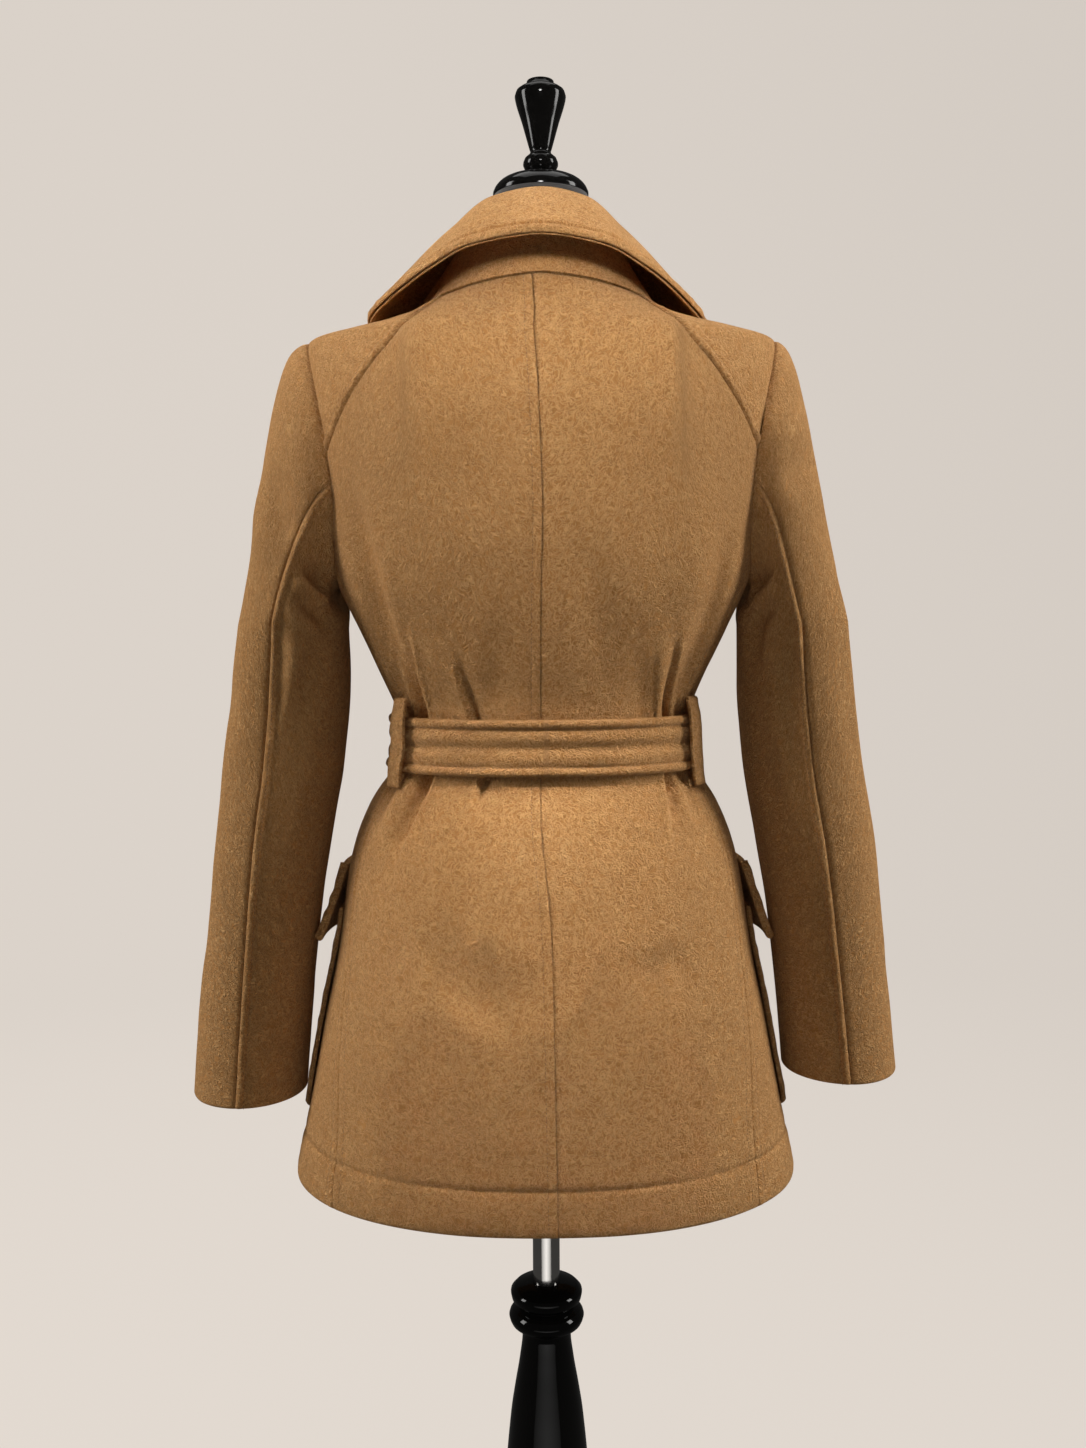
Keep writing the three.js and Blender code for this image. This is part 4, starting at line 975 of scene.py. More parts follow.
def yoke_panel(sign, side):
    fine = 110
    foot = evened(neckline(sign * yoke_start(YOKE_BACK, True), sign * yoke_start(YOKE_FRONT, False)), fine)
    head = evened(armhole_line(sign, YOKE_END, -YOKE_END), fine)
    start = yoke_seam(sign, YOKE_BACK, True, YOKE_END)
    end = yoke_seam(sign, YOKE_FRONT, False, -YOKE_END)
    grid = finished(coons(foot, head, start, end, 110), 50, 44, SEWN, PLAIN, PLAIN, PLAIN)
    seams = {"start": "welted", "end": "plain", "foot": "plain", "head": "plain"}
    return body_panel(f"yoke_{side}", grid, seams)


# ---------------------------------------------------------------- sleeves

sleeve_curves = [Curve(*zip(*[(row[0], row[i]) for row in SLEEVE])) for i in range(1, 5)]

# Folds of a sleeve: points as (degrees round, way down), width, depth, ridge, fades, lean. A way
# of 0 is the armhole, 1 the upper arm and 2 the cuff.
SLEEVE_FOLDS = {
    "left": (
        (((44, 0.52), (76, 0.6), (106, 0.56)), 13, 8, 0.45, 0.4, 0.4, 0.3),
        (((112, 0.6), (138, 0.5), (158, 0.36)), 8, 8, 0.6, 0.4, 0.2, 0.6),
        (((118, 0.75), (150, 0.9), (165, 1.06)), 8, 6, 0.4, 0.3, 0.4, 0.6),
        (((104, 0.95), (112, 1.15), (96, 1.4)), 10, 4, 0.35, 0.3, 0.5, -0.5),
        (((150, 1.0), (128, 1.2), (118, 1.42)), 8, 3.6, 0.3, 0.3, 0.5, 0.5),
        (((20, 1.2), (30, 1.5), (24, 1.8)), 16, 1.8, 0.2, 0.4, 0.4, 0),
    ),
    "right": (
        (((24, 0.62), (56, 0.54), (86, 0.46)), 12, 7, 0.4, 0.4, 0.4, -0.3),
        (((112, 0.62), (138, 0.5), (158, 0.4)), 8, 6, 0.5, 0.4, 0.2, -0.6),
        (((120, 0.8), (146, 0.98), (150, 1.12)), 8, 5.5, 0.4, 0.3, 0.4, -0.6),
        (((110, 1.0), (118, 1.2), (108, 1.45)), 10, 3.8, 0.3, 0.3, 0.5, 0.5),
        (((26, 0.85), (30, 1.1), (26, 1.4)), 9, 3, 0.6, 0.3, 0.4, 0.4),
        (((150, 1.1), (140, 1.4), (136, 1.7)), 16, 1.8, 0.2, 0.4, 0.4, 0),
    ),
}


def hanging_point(sign, degrees_round, z):
    side = "left" if sign > 0 else "right"
    arm, cuff = SLEEVE_SWING[side]
    down = (SLEEVE_TOP - z) / (SLEEVE_TOP - CUFF_LEVEL[side])
    turn = np.radians(degrees_round + lerp(arm, cuff, down))
    x, y, width, depth = (curve(z) for curve in sleeve_curves)
    return np.stack([sign * (x + width * np.cos(turn)), y + depth * np.sin(turn), z + 0 * turn], axis=-1)


def sleeve_point(sign, degrees_round, way):
    """A point of the sleeve: `way` is 0 at the armhole, 1 at the upper arm and 2 at the cuff."""
    degrees_round, way = np.broadcast_arrays(np.asarray(degrees_round, float), np.asarray(way, float))
    side = "left" if sign > 0 else "right"
    lower = hanging_point(sign, degrees_round, lerp(SLEEVE_TOP, CUFF_LEVEL[side], np.maximum(way - 1, 0)))
    up, back = np.cos(np.radians(degrees_round)), np.sin(np.radians(degrees_round))
    start = armhole(sign, degrees_round)
    facing = body.normal(start)
    start = start + facing * body_relief(start, facing)[..., None]
    end = hanging_point(sign, degrees_round, np.full(way.shape, float(SLEEVE_TOP)))
    head = HEADS[side]
    reach = {name: head[name][0] + np.where(up > 0, *head[name][1:]) * up for name in ("leave", "arrive")}
    rise = np.where(up > 0, *head["rise"]) * up - 0.36
    leave = np.stack([sign * (0.87 + 0.1 * up), 0.35 * back, rise], axis=-1) * reach["leave"][..., None]
    arrive = np.array((-sign * head["lean"], 0, 1)) * reach["arrive"][..., None]
    t = np.clip(way, 0, 1)[..., None]
    upper = (1 - t) ** 3 * start + 3 * t * (1 - t) ** 2 * (start + leave)
    upper = upper + 3 * t * t * (1 - t) * (end + arrive) + t**3 * end
    return np.where(way[..., None] > 1, lower, upper)


def grid_normals(grid, ring=False):
    """Normals of a grid of points, pointing to the side where rows cross columns."""
    down = np.gradient(grid, axis=0)
    if ring:
        wide = np.concatenate([grid[:, -1:], grid, grid[:, :1]], axis=1)
        across = np.gradient(wide, axis=1)[:, 1:-1]
    else:
        across = np.gradient(grid, axis=1)
    return unit(np.cross(down, across))


def sleeve_relief(sign, side, points, normals, way):
    """A sleeve's folds and soft unevenness, calm at the armhole."""
    total = (0.9 * noise(points, 70, 31) + 0.4 * noise(points, 28, 32)) * smooth(way, 0, 0.3)
    for knots, *shape in SLEEVE_FOLDS[side]:
        rounds, ways = zip(*knots)
        fine = np.linspace(0, 1, 60)
        at = np.linspace(0, 1, len(knots))
        path = sleeve_point(sign, Natural(at, rounds)(fine), Natural(at, ways)(fine))
        total = total + fold_relief(points, normals, path, *shape)
    return total


def sleeve_part(name, sign, side, start, end, columns, seams):
    """The part of a sleeve between two seams, given in degrees round the armhole."""
    ways = np.concatenate([np.linspace(0, 1, 76), 1 + np.linspace(0, 1, 135)[1:]])
    rounds = np.linspace(start, end, 120)
    raw = sleeve_point(sign, rounds[None], ways[:, None])
    lengths = np.array([arc(line)[-1] for line in raw.swapaxes(0, 1)])
    middle_column = raw[:, len(rounds) // 2]
    places = spaced(arc(middle_column)[-1], PLAIN, PLAIN, 122)
    groove = arc(middle_column)[-1] - CUFF_DEPTH
    places = np.sort(np.concatenate([places[np.abs(places - groove) > 4], groove + np.array((-3, -1.6, -0.7, 0, 0.7, 1.6, 3))]))
    part = places / arc(middle_column)[-1]
    grid = np.stack([along(line, part * length) for line, length in zip(raw.swapaxes(0, 1), lengths)], axis=1)
    grid = np.stack([respaced(line, SEWN, SEWN, columns) for line in grid])
    way = np.interp(places, arc(middle_column), ways)[:, None] + np.zeros(grid.shape[:2])
    normals = grid_normals(grid) * sign
    edge = armhole_frames(sign, grid[0])
    normals[0] = edge
    broad = sleeve_relief(sign, side, grid, normals, way)
    wall = lerp(CLOTH, HEM_WALL, smooth(places, groove - 4, groove + 1))[:, None]
    fine = seam_relief(edge_gap(grid, "foot"), "plain", grid, 41)
    for number, (edge_side, kind) in enumerate(seams.items()):
        fine = fine + seam_relief(edge_gap(grid, edge_side), kind, grid, 43 + number)
    fullness = free_edge(edge_gap(grid, "head"), wall)
    placed = drawn_back(grid, ("start", "end", "foot"))
    middle = placed + normals * (broad - wall / 2)[..., None]
    outer = middle + normals * (wall / 2 * fullness + fine * fullness)[..., None]
    inner = middle - normals * (wall / 2 * fullness)[..., None]
    return shell(name, outer, inner), outer, normals


def armhole_frames(sign, points):
    """The way through the cloth at the armhole, shared by body and sleeve."""
    facing = body.normal(points)
    out = np.array((sign * 0.75, 0, -0.35))
    return unit(facing + 0.4 * out)


# ---------------------------------------------------------------- collar



def mirrored_row(row):
    """A row of the collar's right half, which is worn narrower behind."""
    angle, roll_x, roll_y, roll_z, edge_x, edge_y, edge_z = row
    width = lerp(COLLAR_RIGHT["width"], 1, smooth(angle, COLLAR_RIGHT["from"], COLLAR_RIGHT["to"]))
    return -angle, -roll_x * width, roll_y, roll_z, -edge_x * width, edge_y, edge_z


collar_rows = np.array([mirrored_row(row) for row in COLLAR[:0:-1]] + list(COLLAR))
collar_curves = [Curve(collar_rows[:, 0], collar_rows[:, i]) for i in range(1, 7)]


def collar_point(angle, way):
    """The middle of the collar's plies: `way` is 0 at the neckline and 1 at the outer edge."""
    angle, way = np.broadcast_arrays(np.asarray(angle, float), np.asarray(way, float))
    values = [curve(angle) for curve in collar_curves]
    roll, edge = np.stack(values[:3], axis=-1), np.stack(values[3:], axis=-1)
    seam = body.point(angle, neck_level(angle))
    start = seam + body.normal(seam) * (lap_lift(seam) - CLOTH / 2)[..., None]
    middle = ((start + edge) * -0.125 + roll) / 0.75
    spread = (edge - start) * COLLAR_SPREAD / 2
    rise = middle - spread
    start = start + unit(rise - start) * COLLAR_LIFT
    t = way[..., None]
    point = (1 - t) ** 3 * start + 3 * t * (1 - t) ** 2 * rise
    return point + 3 * t * t * (1 - t) * (middle + spread) + t**3 * edge


def collar_layer(name, layer):
    """One ply of the collar, over or under the gap between the two."""
    angles = np.linspace(-COLLAR_END, COLLAR_END, 400)
    ways = np.linspace(0, 1, 90)
    raw = collar_point(angles[None], ways[:, None])
    grid = np.stack([respaced(line, PLAIN, SEWN, 34) for line in raw.swapaxes(0, 1)], axis=1)
    grid = np.stack([respaced(line, SEWN, SEWN, 196) for line in grid])
    down = np.gradient(grid, axis=0)
    across = np.gradient(grid, axis=1)
    normals = unit(np.cross(across, down))
    outer_gap = edge_gap(grid, "head")
    ends = np.minimum(edge_gap(grid, "start"), edge_gap(grid, "end"))
    gap = np.minimum(outer_gap, ends)
    broad = 0.7 * noise(grid, 60, 51) * smooth(edge_gap(grid, "foot"), 0, 14)
    rolled = np.exp(-((gap / 2.4) ** 2))
    fine = seam_relief(gap, "rim", grid, 52) if layer > 0 else 0.3 * seam_relief(gap, "rim", grid, 55)
    puffed = 0.7 * np.exp(-(((gap - 9.8) / 1.8) ** 2)) - 0.9 * np.exp(-(((gap - STITCH_LINE) / 0.6) ** 2))
    fine = fine + puffed * (layer > 0)
    face = layer * (CLOTH + PLY_GAP / 2) - layer * 0.9 * rolled + layer * fine
    inside = layer * PLY_GAP / 2 * (1 + 1.2 * rolled)
    top = grid + normals * (broad + face)[..., None]
    low = grid + normals * (broad + inside)[..., None]
    return shell(name, top, low), top, normals


SEAM_KINDS["rim"] = {"roll": 0.1, "width": 1.5, "welt": 1.5, "stitch": 1.35}

# ---------------------------------------------------------------- belt, loops and pockets


def out_from(angle, z, distance):
    point = body.point(angle, z)
    return point + body.normal(point) * np.asarray(distance)[..., None]


def over_lap(angle, z):
    """Room that the belt needs over the lapped fronts."""
    point = body.point(angle, z)
    return lap_lift(point) * (1 - smooth(point[..., 0], *LAP_FALL))


def strip_shape(offset, half, rim=7.5):
    """Height over a strip of doubled cloth: full rims outside the stitches, a soft crease inside."""
    gap = half - np.abs(offset)
    full = 0.9 * np.sin(np.pi * np.clip(gap / rim, 0, 1)) ** 0.7 * (gap < rim)
    sunk = -1.0 * np.exp(-(((gap - rim) / 1.2) ** 2))
    belly = 1.0 * np.exp(-(((np.abs(offset) - half * 0.33) / (half * 0.2)) ** 2))
    crease = -0.9 * np.exp(-((offset / (half * 0.16)) ** 2))
    return full + sunk + belly + crease


def belt_band():
    angles = np.linspace(0, 360, 330, endpoint=False)
    half = BELT_WIDTH / 2
    offsets = np.concatenate([-half + np.array(SEWN), np.linspace(-half + 14, half - 14, 11), half - np.array(SEWN[::-1])])
    grid_angle = angles[None] + 0 * offsets[:, None]
    level = BELT_LEVEL + offsets[:, None] + 0 * angles[None]
    base = out_from(grid_angle, level, BELT_STANDOFF + over_lap(grid_angle, level) + BELT_WALL / 2)
    normals = body.normal(base)
    wave = 0.9 * noise(base, 55, 61) + 0.35 * noise(base, 21, 62)
    fine = strip_shape(offsets, half)[:, None] * (1 + 0.3 * noise(base, 26, 63) + 0.2 * noise(base, 9, 64))
    fullness = free_edge(half - np.abs(offsets), BELT_WALL)[:, None]
    base = base + np.array((0, 0, 1)) * (0.8 * noise(base, 90, 65))[..., None]
    outer = base + normals * (wave * 0.5 + (BELT_WALL / 2 + fine) * fullness)[..., None]
    inner = base - normals * (BELT_WALL / 2 * fullness)[..., None]
    return shell("belt_band", outer, inner, ring=True, ply_groove=0.5), outer, normals


def applied(name, grid_angle, level, free, wall, fine, gap, wave=0.0):
    """A closed strip or patch that lies over the body."""
    base = out_from(grid_angle, level, free + wall / 2)
    normals = body.normal(base)
    fullness = free_edge(gap, wall)
    outer = base + normals * (wave + (wall / 2 + fine) * fullness)[..., None]
    inner = base + normals * (wave - wall / 2 * fullness)[..., None]
    return shell(name, outer, inner, ply_groove=0.9), outer, normals


def belt_loop(sign, side):
    rows = np.asarray(LOOP_ROWS, float)
    heights = spaced(rows[0, 0] - rows[-1, 0], PLAIN, PLAIN, 34) + rows[-1, 0]
    free = Curve(rows[:, 0], rows[:, 1])(heights)
    ends = body.point(LOOP[side] + np.array((-LOOP["half"], LOOP["half"])), BELT_LEVEL)
    half = float(np.linalg.norm(ends[1] - ends[0])) / 2
    offsets = np.concatenate([-half + np.array((0, 0.5, 1.1, 1.8, 2.4, 3.0)), np.linspace(3.6 - half, half - 3.6, 7), half - np.array((3.0, 2.4, 1.8, 1.1, 0.5, 0))])
    angle = sign * (LOOP[side] + LOOP["half"] * offsets / half)
    grid_angle = angle[None] + 0 * heights[:, None]
    level = heights[:, None] + 0 * angle[None]
    gap = np.minimum((half - np.abs(offsets))[None], (np.minimum(heights - heights[0], heights[-1] - heights))[:, None])
    sunk = -0.9 * np.exp(-(((half - np.abs(offsets)) - 2.4) / 0.8) ** 2)
    point = body.point(grid_angle, level)
    fine = sunk[None] + 0.4 * noise(point, 9, 71) + 0.5 * noise(point, 22, 72)
    free = free + 0.9 * noise(point[:, len(offsets) // 2], 24, 74) * smooth(gap.max(axis=1), 1, 8)
    return applied(f"belt_loop_{side}", grid_angle, level, free[:, None] + 0 * grid_angle, LOOP["wall"], fine, gap)


def belt_tail(side):
    sign, foot, spread = TAILS[side]
    length = TAIL["head"] - foot
    heights = TAIL["head"] - spaced(length, PLAIN, SEWN, 66)
    ease = smooth(TAIL["head"] - heights, 0, TAIL["over"])
    half = lerp(TAIL["narrow"], TAIL["half"], ease)
    centre = lerp(TAIL["centre"], TAIL["centre"] + spread, ease)
    part = np.concatenate([-1 + np.array(SEWN) / TAIL["half"], np.linspace(-0.4, 0.4, 9), 1 - np.array(SEWN[::-1]) / TAIL["half"]])
    x = centre[:, None] + half[:, None] * part[None]
    level = heights[:, None] + 0 * x
    grid_angle = sign * (180 - body.angle_across(x, level))
    free = LAP_LIFT + TAIL["standoff"] + TAIL["rise"] * (1 - ease)[:, None] + 0 * x
    gap = np.minimum(half[:, None] * (1 - np.abs(part))[None], (heights - heights[-1])[:, None])
    fine = strip_shape(half[:, None] * part[None], half[:, None])
    point = body.point(grid_angle, level)
    wave = 0.9 * noise(point, 50, 73)
    return applied(f"belt_tail_{side}", grid_angle, level, free, BELT_WALL, fine, gap, wave)


def pocket_patch(sign, side):
    top, foot, back, front = (POCKET[key] for key in ("top", "foot", "back", "front"))
    heights = foot + spaced(top - foot, SEWN, SEWN, 42)
    tuck = np.interp(heights - foot, *zip(*POCKET_CORNER))
    tuck = tuck * (1 - smooth(heights - foot, 4, 26)) + 0.0
    width = math.radians(front - back) * 155
    part = spaced(width, SEWN, SEWN, 44) / width
    angle = sign * lerp((back + tuck)[:, None], (front - tuck)[:, None], part[None])
    level = heights[:, None] + 0 * angle
    rise = np.sin(np.pi * np.clip((heights - foot) / (top - foot), 0, 1)) ** 0.5
    bulge = np.sin(np.pi * np.clip(part, 0, 1)) ** 0.5
    free = POCKET["standoff"] + POCKET["swell"] * rise[:, None] * bulge[None]
    gap = np.minimum(width * np.minimum(part, 1 - part)[None], np.minimum(heights - foot, top - heights)[:, None])
    point = body.point(angle, level)
    fine = seam_relief(gap, "rim", point, 75)
    return applied(f"pocket_{side}", angle, level, free, CLOTH, fine, gap, 0.5 * noise(point, 45, 76))


def pocket_flap(sign, side):
    top, foot, back, front = (FLAP[key] for key in ("top", "foot", "back", "front"))
    heights = top - spaced(top - foot, PLAIN, SEWN, 16)
    width = math.radians(front - back) * 150
    part = spaced(width, SEWN, SEWN, 44) / width
    angle = sign * lerp(back, front, part)[None] + 0 * heights[:, None]
    level = heights[:, None] + 0 * angle
    down = (top - heights) / (top - foot)
    free = FLAP["standoff"] + FLAP["kick"] * down[:, None] ** 1.2 + 0 * angle
    gap = np.minimum(width * np.minimum(part, 1 - part)[None], (heights - foot)[:, None])
    point = body.point(angle, level)
    fine = 1.4 * seam_relief(gap, "rim", point, 77)
    return applied(f"pocket_flap_{side}", angle, level, free, FLAP["wall"], fine, gap, 0.6 * noise(point, 40, 78))


def belt_knot():
    """The tie: one turn of the belt wrapped over the crossing, creased by the pull."""
    face = float(body.read("front", BELT_LEVEL)) + BELT_STANDOFF + LAP_LIFT + BELT_WALL
    rows, columns = 72, 104
    tilt = np.linspace(-np.pi / 2, np.pi / 2, rows)[:, None]
    turn = np.linspace(0, 2 * np.pi, columns, endpoint=False)[None]
    power = 0.72
    signed = lambda value: np.sign(value) * np.abs(value) ** power
    x = KNOT["width"] * signed(np.cos(tilt) * np.cos(turn))
    y = KNOT["depth"] * signed(np.cos(tilt) * np.sin(turn))
    z = KNOT["height"] * signed(np.sin(tilt) + 0 * turn)
    points = np.stack([x, y, z], axis=-1)
    slant = points[..., 0] * 0.8 + points[..., 2] * 0.6
    wrap = points[..., 0] * 0.94 - points[..., 2] * 0.34
    shape = -1.6 * np.exp(-(((wrap - 11) / 1.6) ** 2)) - 1.6 * np.exp(-(((wrap + 11) / 1.6) ** 2))
    shape = shape - 0.9 * np.exp(-(((slant - 3) / 2.2) ** 2)) * (np.abs(wrap) < 10)
    shape = shape + 0.8 * noise(points, 11, 81) - 0.6
    out = unit(points / np.array((KNOT["width"], KNOT["depth"], KNOT["height"])))
    points = points + out * np.minimum(shape, 0.2)[..., None]
    centre = np.array((KNOT["x"], -face - KNOT["depth"] - KNOT["standoff"], BELT_LEVEL))
    points = points + centre
    flat = points[1:-1].reshape(-1, 3)
    flat = np.concatenate([flat, points[0, :1], points[-1, :1]])
    faces = []
    for row in range(rows - 3):
        for i in range(columns):
            j = (i + 1) % columns
            low, high = row * columns, (row + 1) * columns
            faces.append((low + i, low + j, high + j, high + i))
    top = (rows - 3) * columns
    foot, head = len(flat) - 2, len(flat) - 1
    for i in range(columns):
        j = (i + 1) % columns
        faces += [(foot, j, i), (head, top + i, top + j)]
    uv = np.stack([flat[:, 0] - KNOT["x"], flat[:, 2] - BELT_LEVEL], axis=1)
    return mesh_object("belt_knot", flat, outward(flat, faces), uv)


def form_body():
    """The padded torso, a closed smooth solid."""
    heights = np.unique(np.concatenate([np.arange(712, 1476.6, 6.5), [row[0] for row in TORSO]]))
    angles = np.linspace(0, 360, 96, endpoint=False)
    points = torso.point(angles[None], heights[:, None]).reshape(-1, 3)
    columns = len(angles)
    faces = []
    for row in range(len(heights) - 1):
        for i in range(columns):
            j = (i + 1) % columns
            low, high = row * columns, (row + 1) * columns
            faces.append((low + i, low + j, high + j, high + i))
    top = (len(heights) - 1) * columns
    points = np.concatenate([points, [(0, 0, heights[0]), (0, 0, heights[-1])]])
    foot, head = len(points) - 2, len(points) - 1
    for i in range(columns):
        j = (i + 1) % columns
        faces += [(foot, j, i), (head, top + i, top + j)]
    return mesh_object("form_torso_cover", points, outward(points, faces))

# ---------------------------------------------------------------- shader maths


class Value:
    """A node's output, so that shader maths reads as an expression."""

    def __init__(self, tree, socket):
        self.tree, self.socket = tree, socket

    def _math(self, operation, *others, flipped=False, clamp=False):
        node = self.tree.nodes.new("ShaderNodeMath")
        node.operation, node.use_clamp = operation, clamp
        operands = [self, *others]
        for slot, operand in zip(node.inputs, reversed(operands) if flipped else operands):
            join(self.tree, slot, operand)
        return Value(self.tree, node.outputs[0])

    def __add__(self, other):
        return self._math("ADD", other)

    def __radd__(self, other):
        return self._math("ADD", other, flipped=True)

    def __sub__(self, other):
        return self._math("SUBTRACT", other)

    def __rsub__(self, other):
        return self._math("SUBTRACT", other, flipped=True)

    def __mul__(self, other):
        return self._math("MULTIPLY", other)

    def __rmul__(self, other):
        return self._math("MULTIPLY", other, flipped=True)

    def __truediv__(self, other):
        return self._math("DIVIDE", other)

    def __pow__(self, other):
        return self._math("POWER", other)

    def __abs__(self):
        return self._math("ABSOLUTE")

    def most(self, other):
        return self._math("MAXIMUM", other)

    def held(self):
        """Kept from 0 to 1."""
        return self._math("ADD", 0.0, clamp=True)

    def between(self, low, high):
        """0 at low and 1 at high, kept from 0 to 1."""
        return ((self - low) / (high - low)).held()


def join(tree, slot, operand):
    if isinstance(operand, Value):
        tree.links.new(operand.socket, slot)
    else:
        slot.default_value = operand


class Paint:
    """Builds one material's nodes."""

    def __init__(self, name):
        self.material = bpy.data.materials.new(name)
        self.material.use_nodes = True
        self.tree = self.material.node_tree
        self.tree.nodes.clear()

    def node(self, kind, settings, inputs, output):
        """A node of any kind: its settings, then its sockets' values or links, and one output."""
        made = self.tree.nodes.new(kind)
        for name, value in settings.items():
            setattr(made, name, value)
        for name, value in inputs.items():
            slots = [s for s in made.inputs if s.enabled and name in (s.name, s.identifier)]
            join(self.tree, slots[0], value)
        outputs = [s for s in made.outputs if s.enabled and output in (s.name, s.identifier)]
        return Value(self.tree, outputs[0])

    def place(self, kind="UV"):
        return self.node("ShaderNodeTexCoord", {}, {}, kind)

    def noise(self, place, scale, detail=2.0, rough=0.5, output="Fac", distortion=0.0):
        inputs = {"Vector": place, "Scale": scale, "Detail": detail, "Roughness": rough, "Distortion": distortion}
        return self.node("ShaderNodeTexNoise", {}, inputs, output)

    def mix(self, factor, a, b, blend="MIX"):
        settings = {"data_type": "RGBA", "blend_type": blend}
        inputs = {"Factor_Float": factor, "A_Color": a, "B_Color": b}
        return self.node("ShaderNodeMix", settings, inputs, "Result_Color")

    def vector(self, operation, a, b):
        made = self.tree.nodes.new("ShaderNodeVectorMath")
        made.operation = operation
        join(self.tree, made.inputs[0], a)
        if operation == "SCALE":
            join(self.tree, made.inputs["Scale"], b)
        else:
            join(self.tree, made.inputs[1], b)
        return Value(self.tree, made.outputs[0])

    def bump(self, height, strength, distance, normal=None):
        inputs = {"Height": height, "Strength": strength, "Distance": distance}
        if normal is not None:
            inputs["Normal"] = normal
        return self.node("ShaderNodeBump", {}, inputs, "Normal")

    def finish(self, inputs):
        surface = self.node("ShaderNodeBsdfPrincipled", {}, inputs, "BSDF")
        self.node_output(surface)
        return self.material

    def node_output(self, surface):
        made = self.tree.nodes.new("ShaderNodeOutputMaterial")
        self.tree.links.new(surface.socket, made.inputs["Surface"])


def colour(red, green, blue):
    return (red, green, blue, 1.0)


def shade(base, factor):
    return colour(*(channel * factor for channel in base[:3]))


def wool_material(name, base, nap):
    """Napped wool: short curled fibres, lighter at their tips, over a soft uneven felt, with painted shade in the
    hollows between the fibres.
    """
    paint = Paint(name)
    flat = paint.place("UV")
    solid = paint.place("Object")
    swirl = paint.noise(flat, 95.0, 1.0, output="Color")
    swirl = paint.vector("SUBTRACT", swirl, (0.5, 0.5, 0.5))
    curled = paint.vector("ADD", flat, paint.vector("SCALE", swirl, 0.016))
    fine_swirl = paint.noise(flat, 330.0, 1.0, output="Color")
    fine_swirl = paint.vector("SUBTRACT", fine_swirl, (0.5, 0.5, 0.5))
    curled = paint.vector("ADD", curled, paint.vector("SCALE", fine_swirl, 0.0034))
    stretched = paint.vector("MULTIPLY", curled, (1.0, 0.6, 1.0))
    line = lambda field, width: (1 - abs(field - 0.5) / width).held()
    broken = paint.noise(flat, 210.0, 1.0)
    fibres = line(paint.noise(stretched, 250.0, 0.0), 0.06) * broken.between(0.40, 0.55)
    for shift, scale, width in (((3.1, 1.7, 0.0), 340.0, 0.07), ((5.3, 8.9, 0.0), 290.0, 0.055)):
        layer = line(paint.noise(paint.vector("ADD", stretched, shift), scale, 0.0), width)
        fibres = fibres.most(layer * (1 - broken).between(0.38, 0.55))
    crossing = paint.vector("MULTIPLY", curled, (0.6, 1.0, 1.0))
    fibres = fibres.most(line(paint.noise(crossing, 300.0, 0.0), 0.05) * 0.85)
    hollows = line(paint.noise(paint.vector("ADD", stretched, (7.7, 4.2, 0.0)), 260.0, 0.0), 0.06)
    hollows = hollows.most(line(paint.noise(paint.vector("ADD", crossing, (2.2, 6.1, 0.0)), 310.0, 0.0), 0.05))
    grain = paint.noise(flat, 1100.0, 2.0, 0.6)
    clumps = paint.noise(curled, 150.0, 3.0, 0.62)
    cloudy = paint.noise(solid, 30.0, 2.0, 0.5)
    broad = paint.noise(solid, 11.0, 3.0, 0.55)
    height = fibres * 0.9 - hollows * 0.5 + grain * 0.3 + clumps * 0.35
    tone = (clumps * 0.4 + grain * 0.4 + cloudy * 0.2).between(0.36, 0.64)
    ground = paint.mix(tone, shade(base, 0.84), shade(base, 1.08))
    # painted shade: the hollows between the fibres are darkened towards half the wool's colour, on top of the bump that
    # sinks them
    shaded_hollows = paint.mix(hollows * 0.55, ground, shade(base, 0.52))
    tips = paint.mix((fibres * 0.75).held(), shaded_hollows, nap)
    uneven = paint.mix(broad.between(0.35, 0.7) * 0.15, tips, shade(base, 0.9))
    return paint.finish(
        {
            "Base Color": uneven,
            "Roughness": 0.84 + 0.12 * grain,
            "Normal": paint.bump(height, 0.7, 0.0013),
            "Specular IOR Level": 0.05,
            "Sheen Weight": 0.14,
            "Sheen Roughness": 0.45,
            "Sheen Tint": colour(1.0, 0.80, 0.54),
        }
    )


def thread_material(base):
    paint = Paint("silk_thread")
    solid = paint.place("Object")
    twist = paint.node(
        "ShaderNodeTexWave",
        {"wave_type": "BANDS", "bands_direction": "DIAGONAL"},
        {"Vector": solid, "Scale": 900.0, "Distortion": 1.0},
        "Fac",
    )
    tone = paint.noise(solid, 240.0, 2.0)
    return paint.finish(
        {
            "Base Color": paint.mix(tone, shade(base, 0.42), shade(base, 0.62)),
            "Roughness": 0.6 + 0.2 * tone,
            "Normal": paint.bump(twist, 0.3, 0.0001),
            "Sheen Weight": 0.2,
        }
    )


def cover_material(base):
    """The form's plain jersey: fine ribs of knitting over a slightly uneven pad."""
    paint = Paint("form_jersey")
    solid = paint.place("Object")
    rib = paint.node(
        "ShaderNodeTexWave",
        {"wave_type": "BANDS", "bands_direction": "Z"},
        {"Vector": solid, "Scale": 210.0, "Distortion": 0.6, "Detail": 2.0, "Detail Scale": 2.0},
        "Fac",
    )
    fluff = paint.noise(solid, 900.0, 3.0, 0.6)
    tone = paint.noise(solid, 30.0, 3.0)
    return paint.finish(
        {
            "Base Color": paint.mix(tone * 0.6 + fluff * 0.4, shade(base, 0.7), shade(base, 1.4)),
            "Roughness": 0.85 + 0.1 * fluff,
            "Normal": paint.bump(rib * 0.6 + fluff * 0.4, 0.4, 0.0003),
            "Sheen Weight": 0.15,
        }
    )


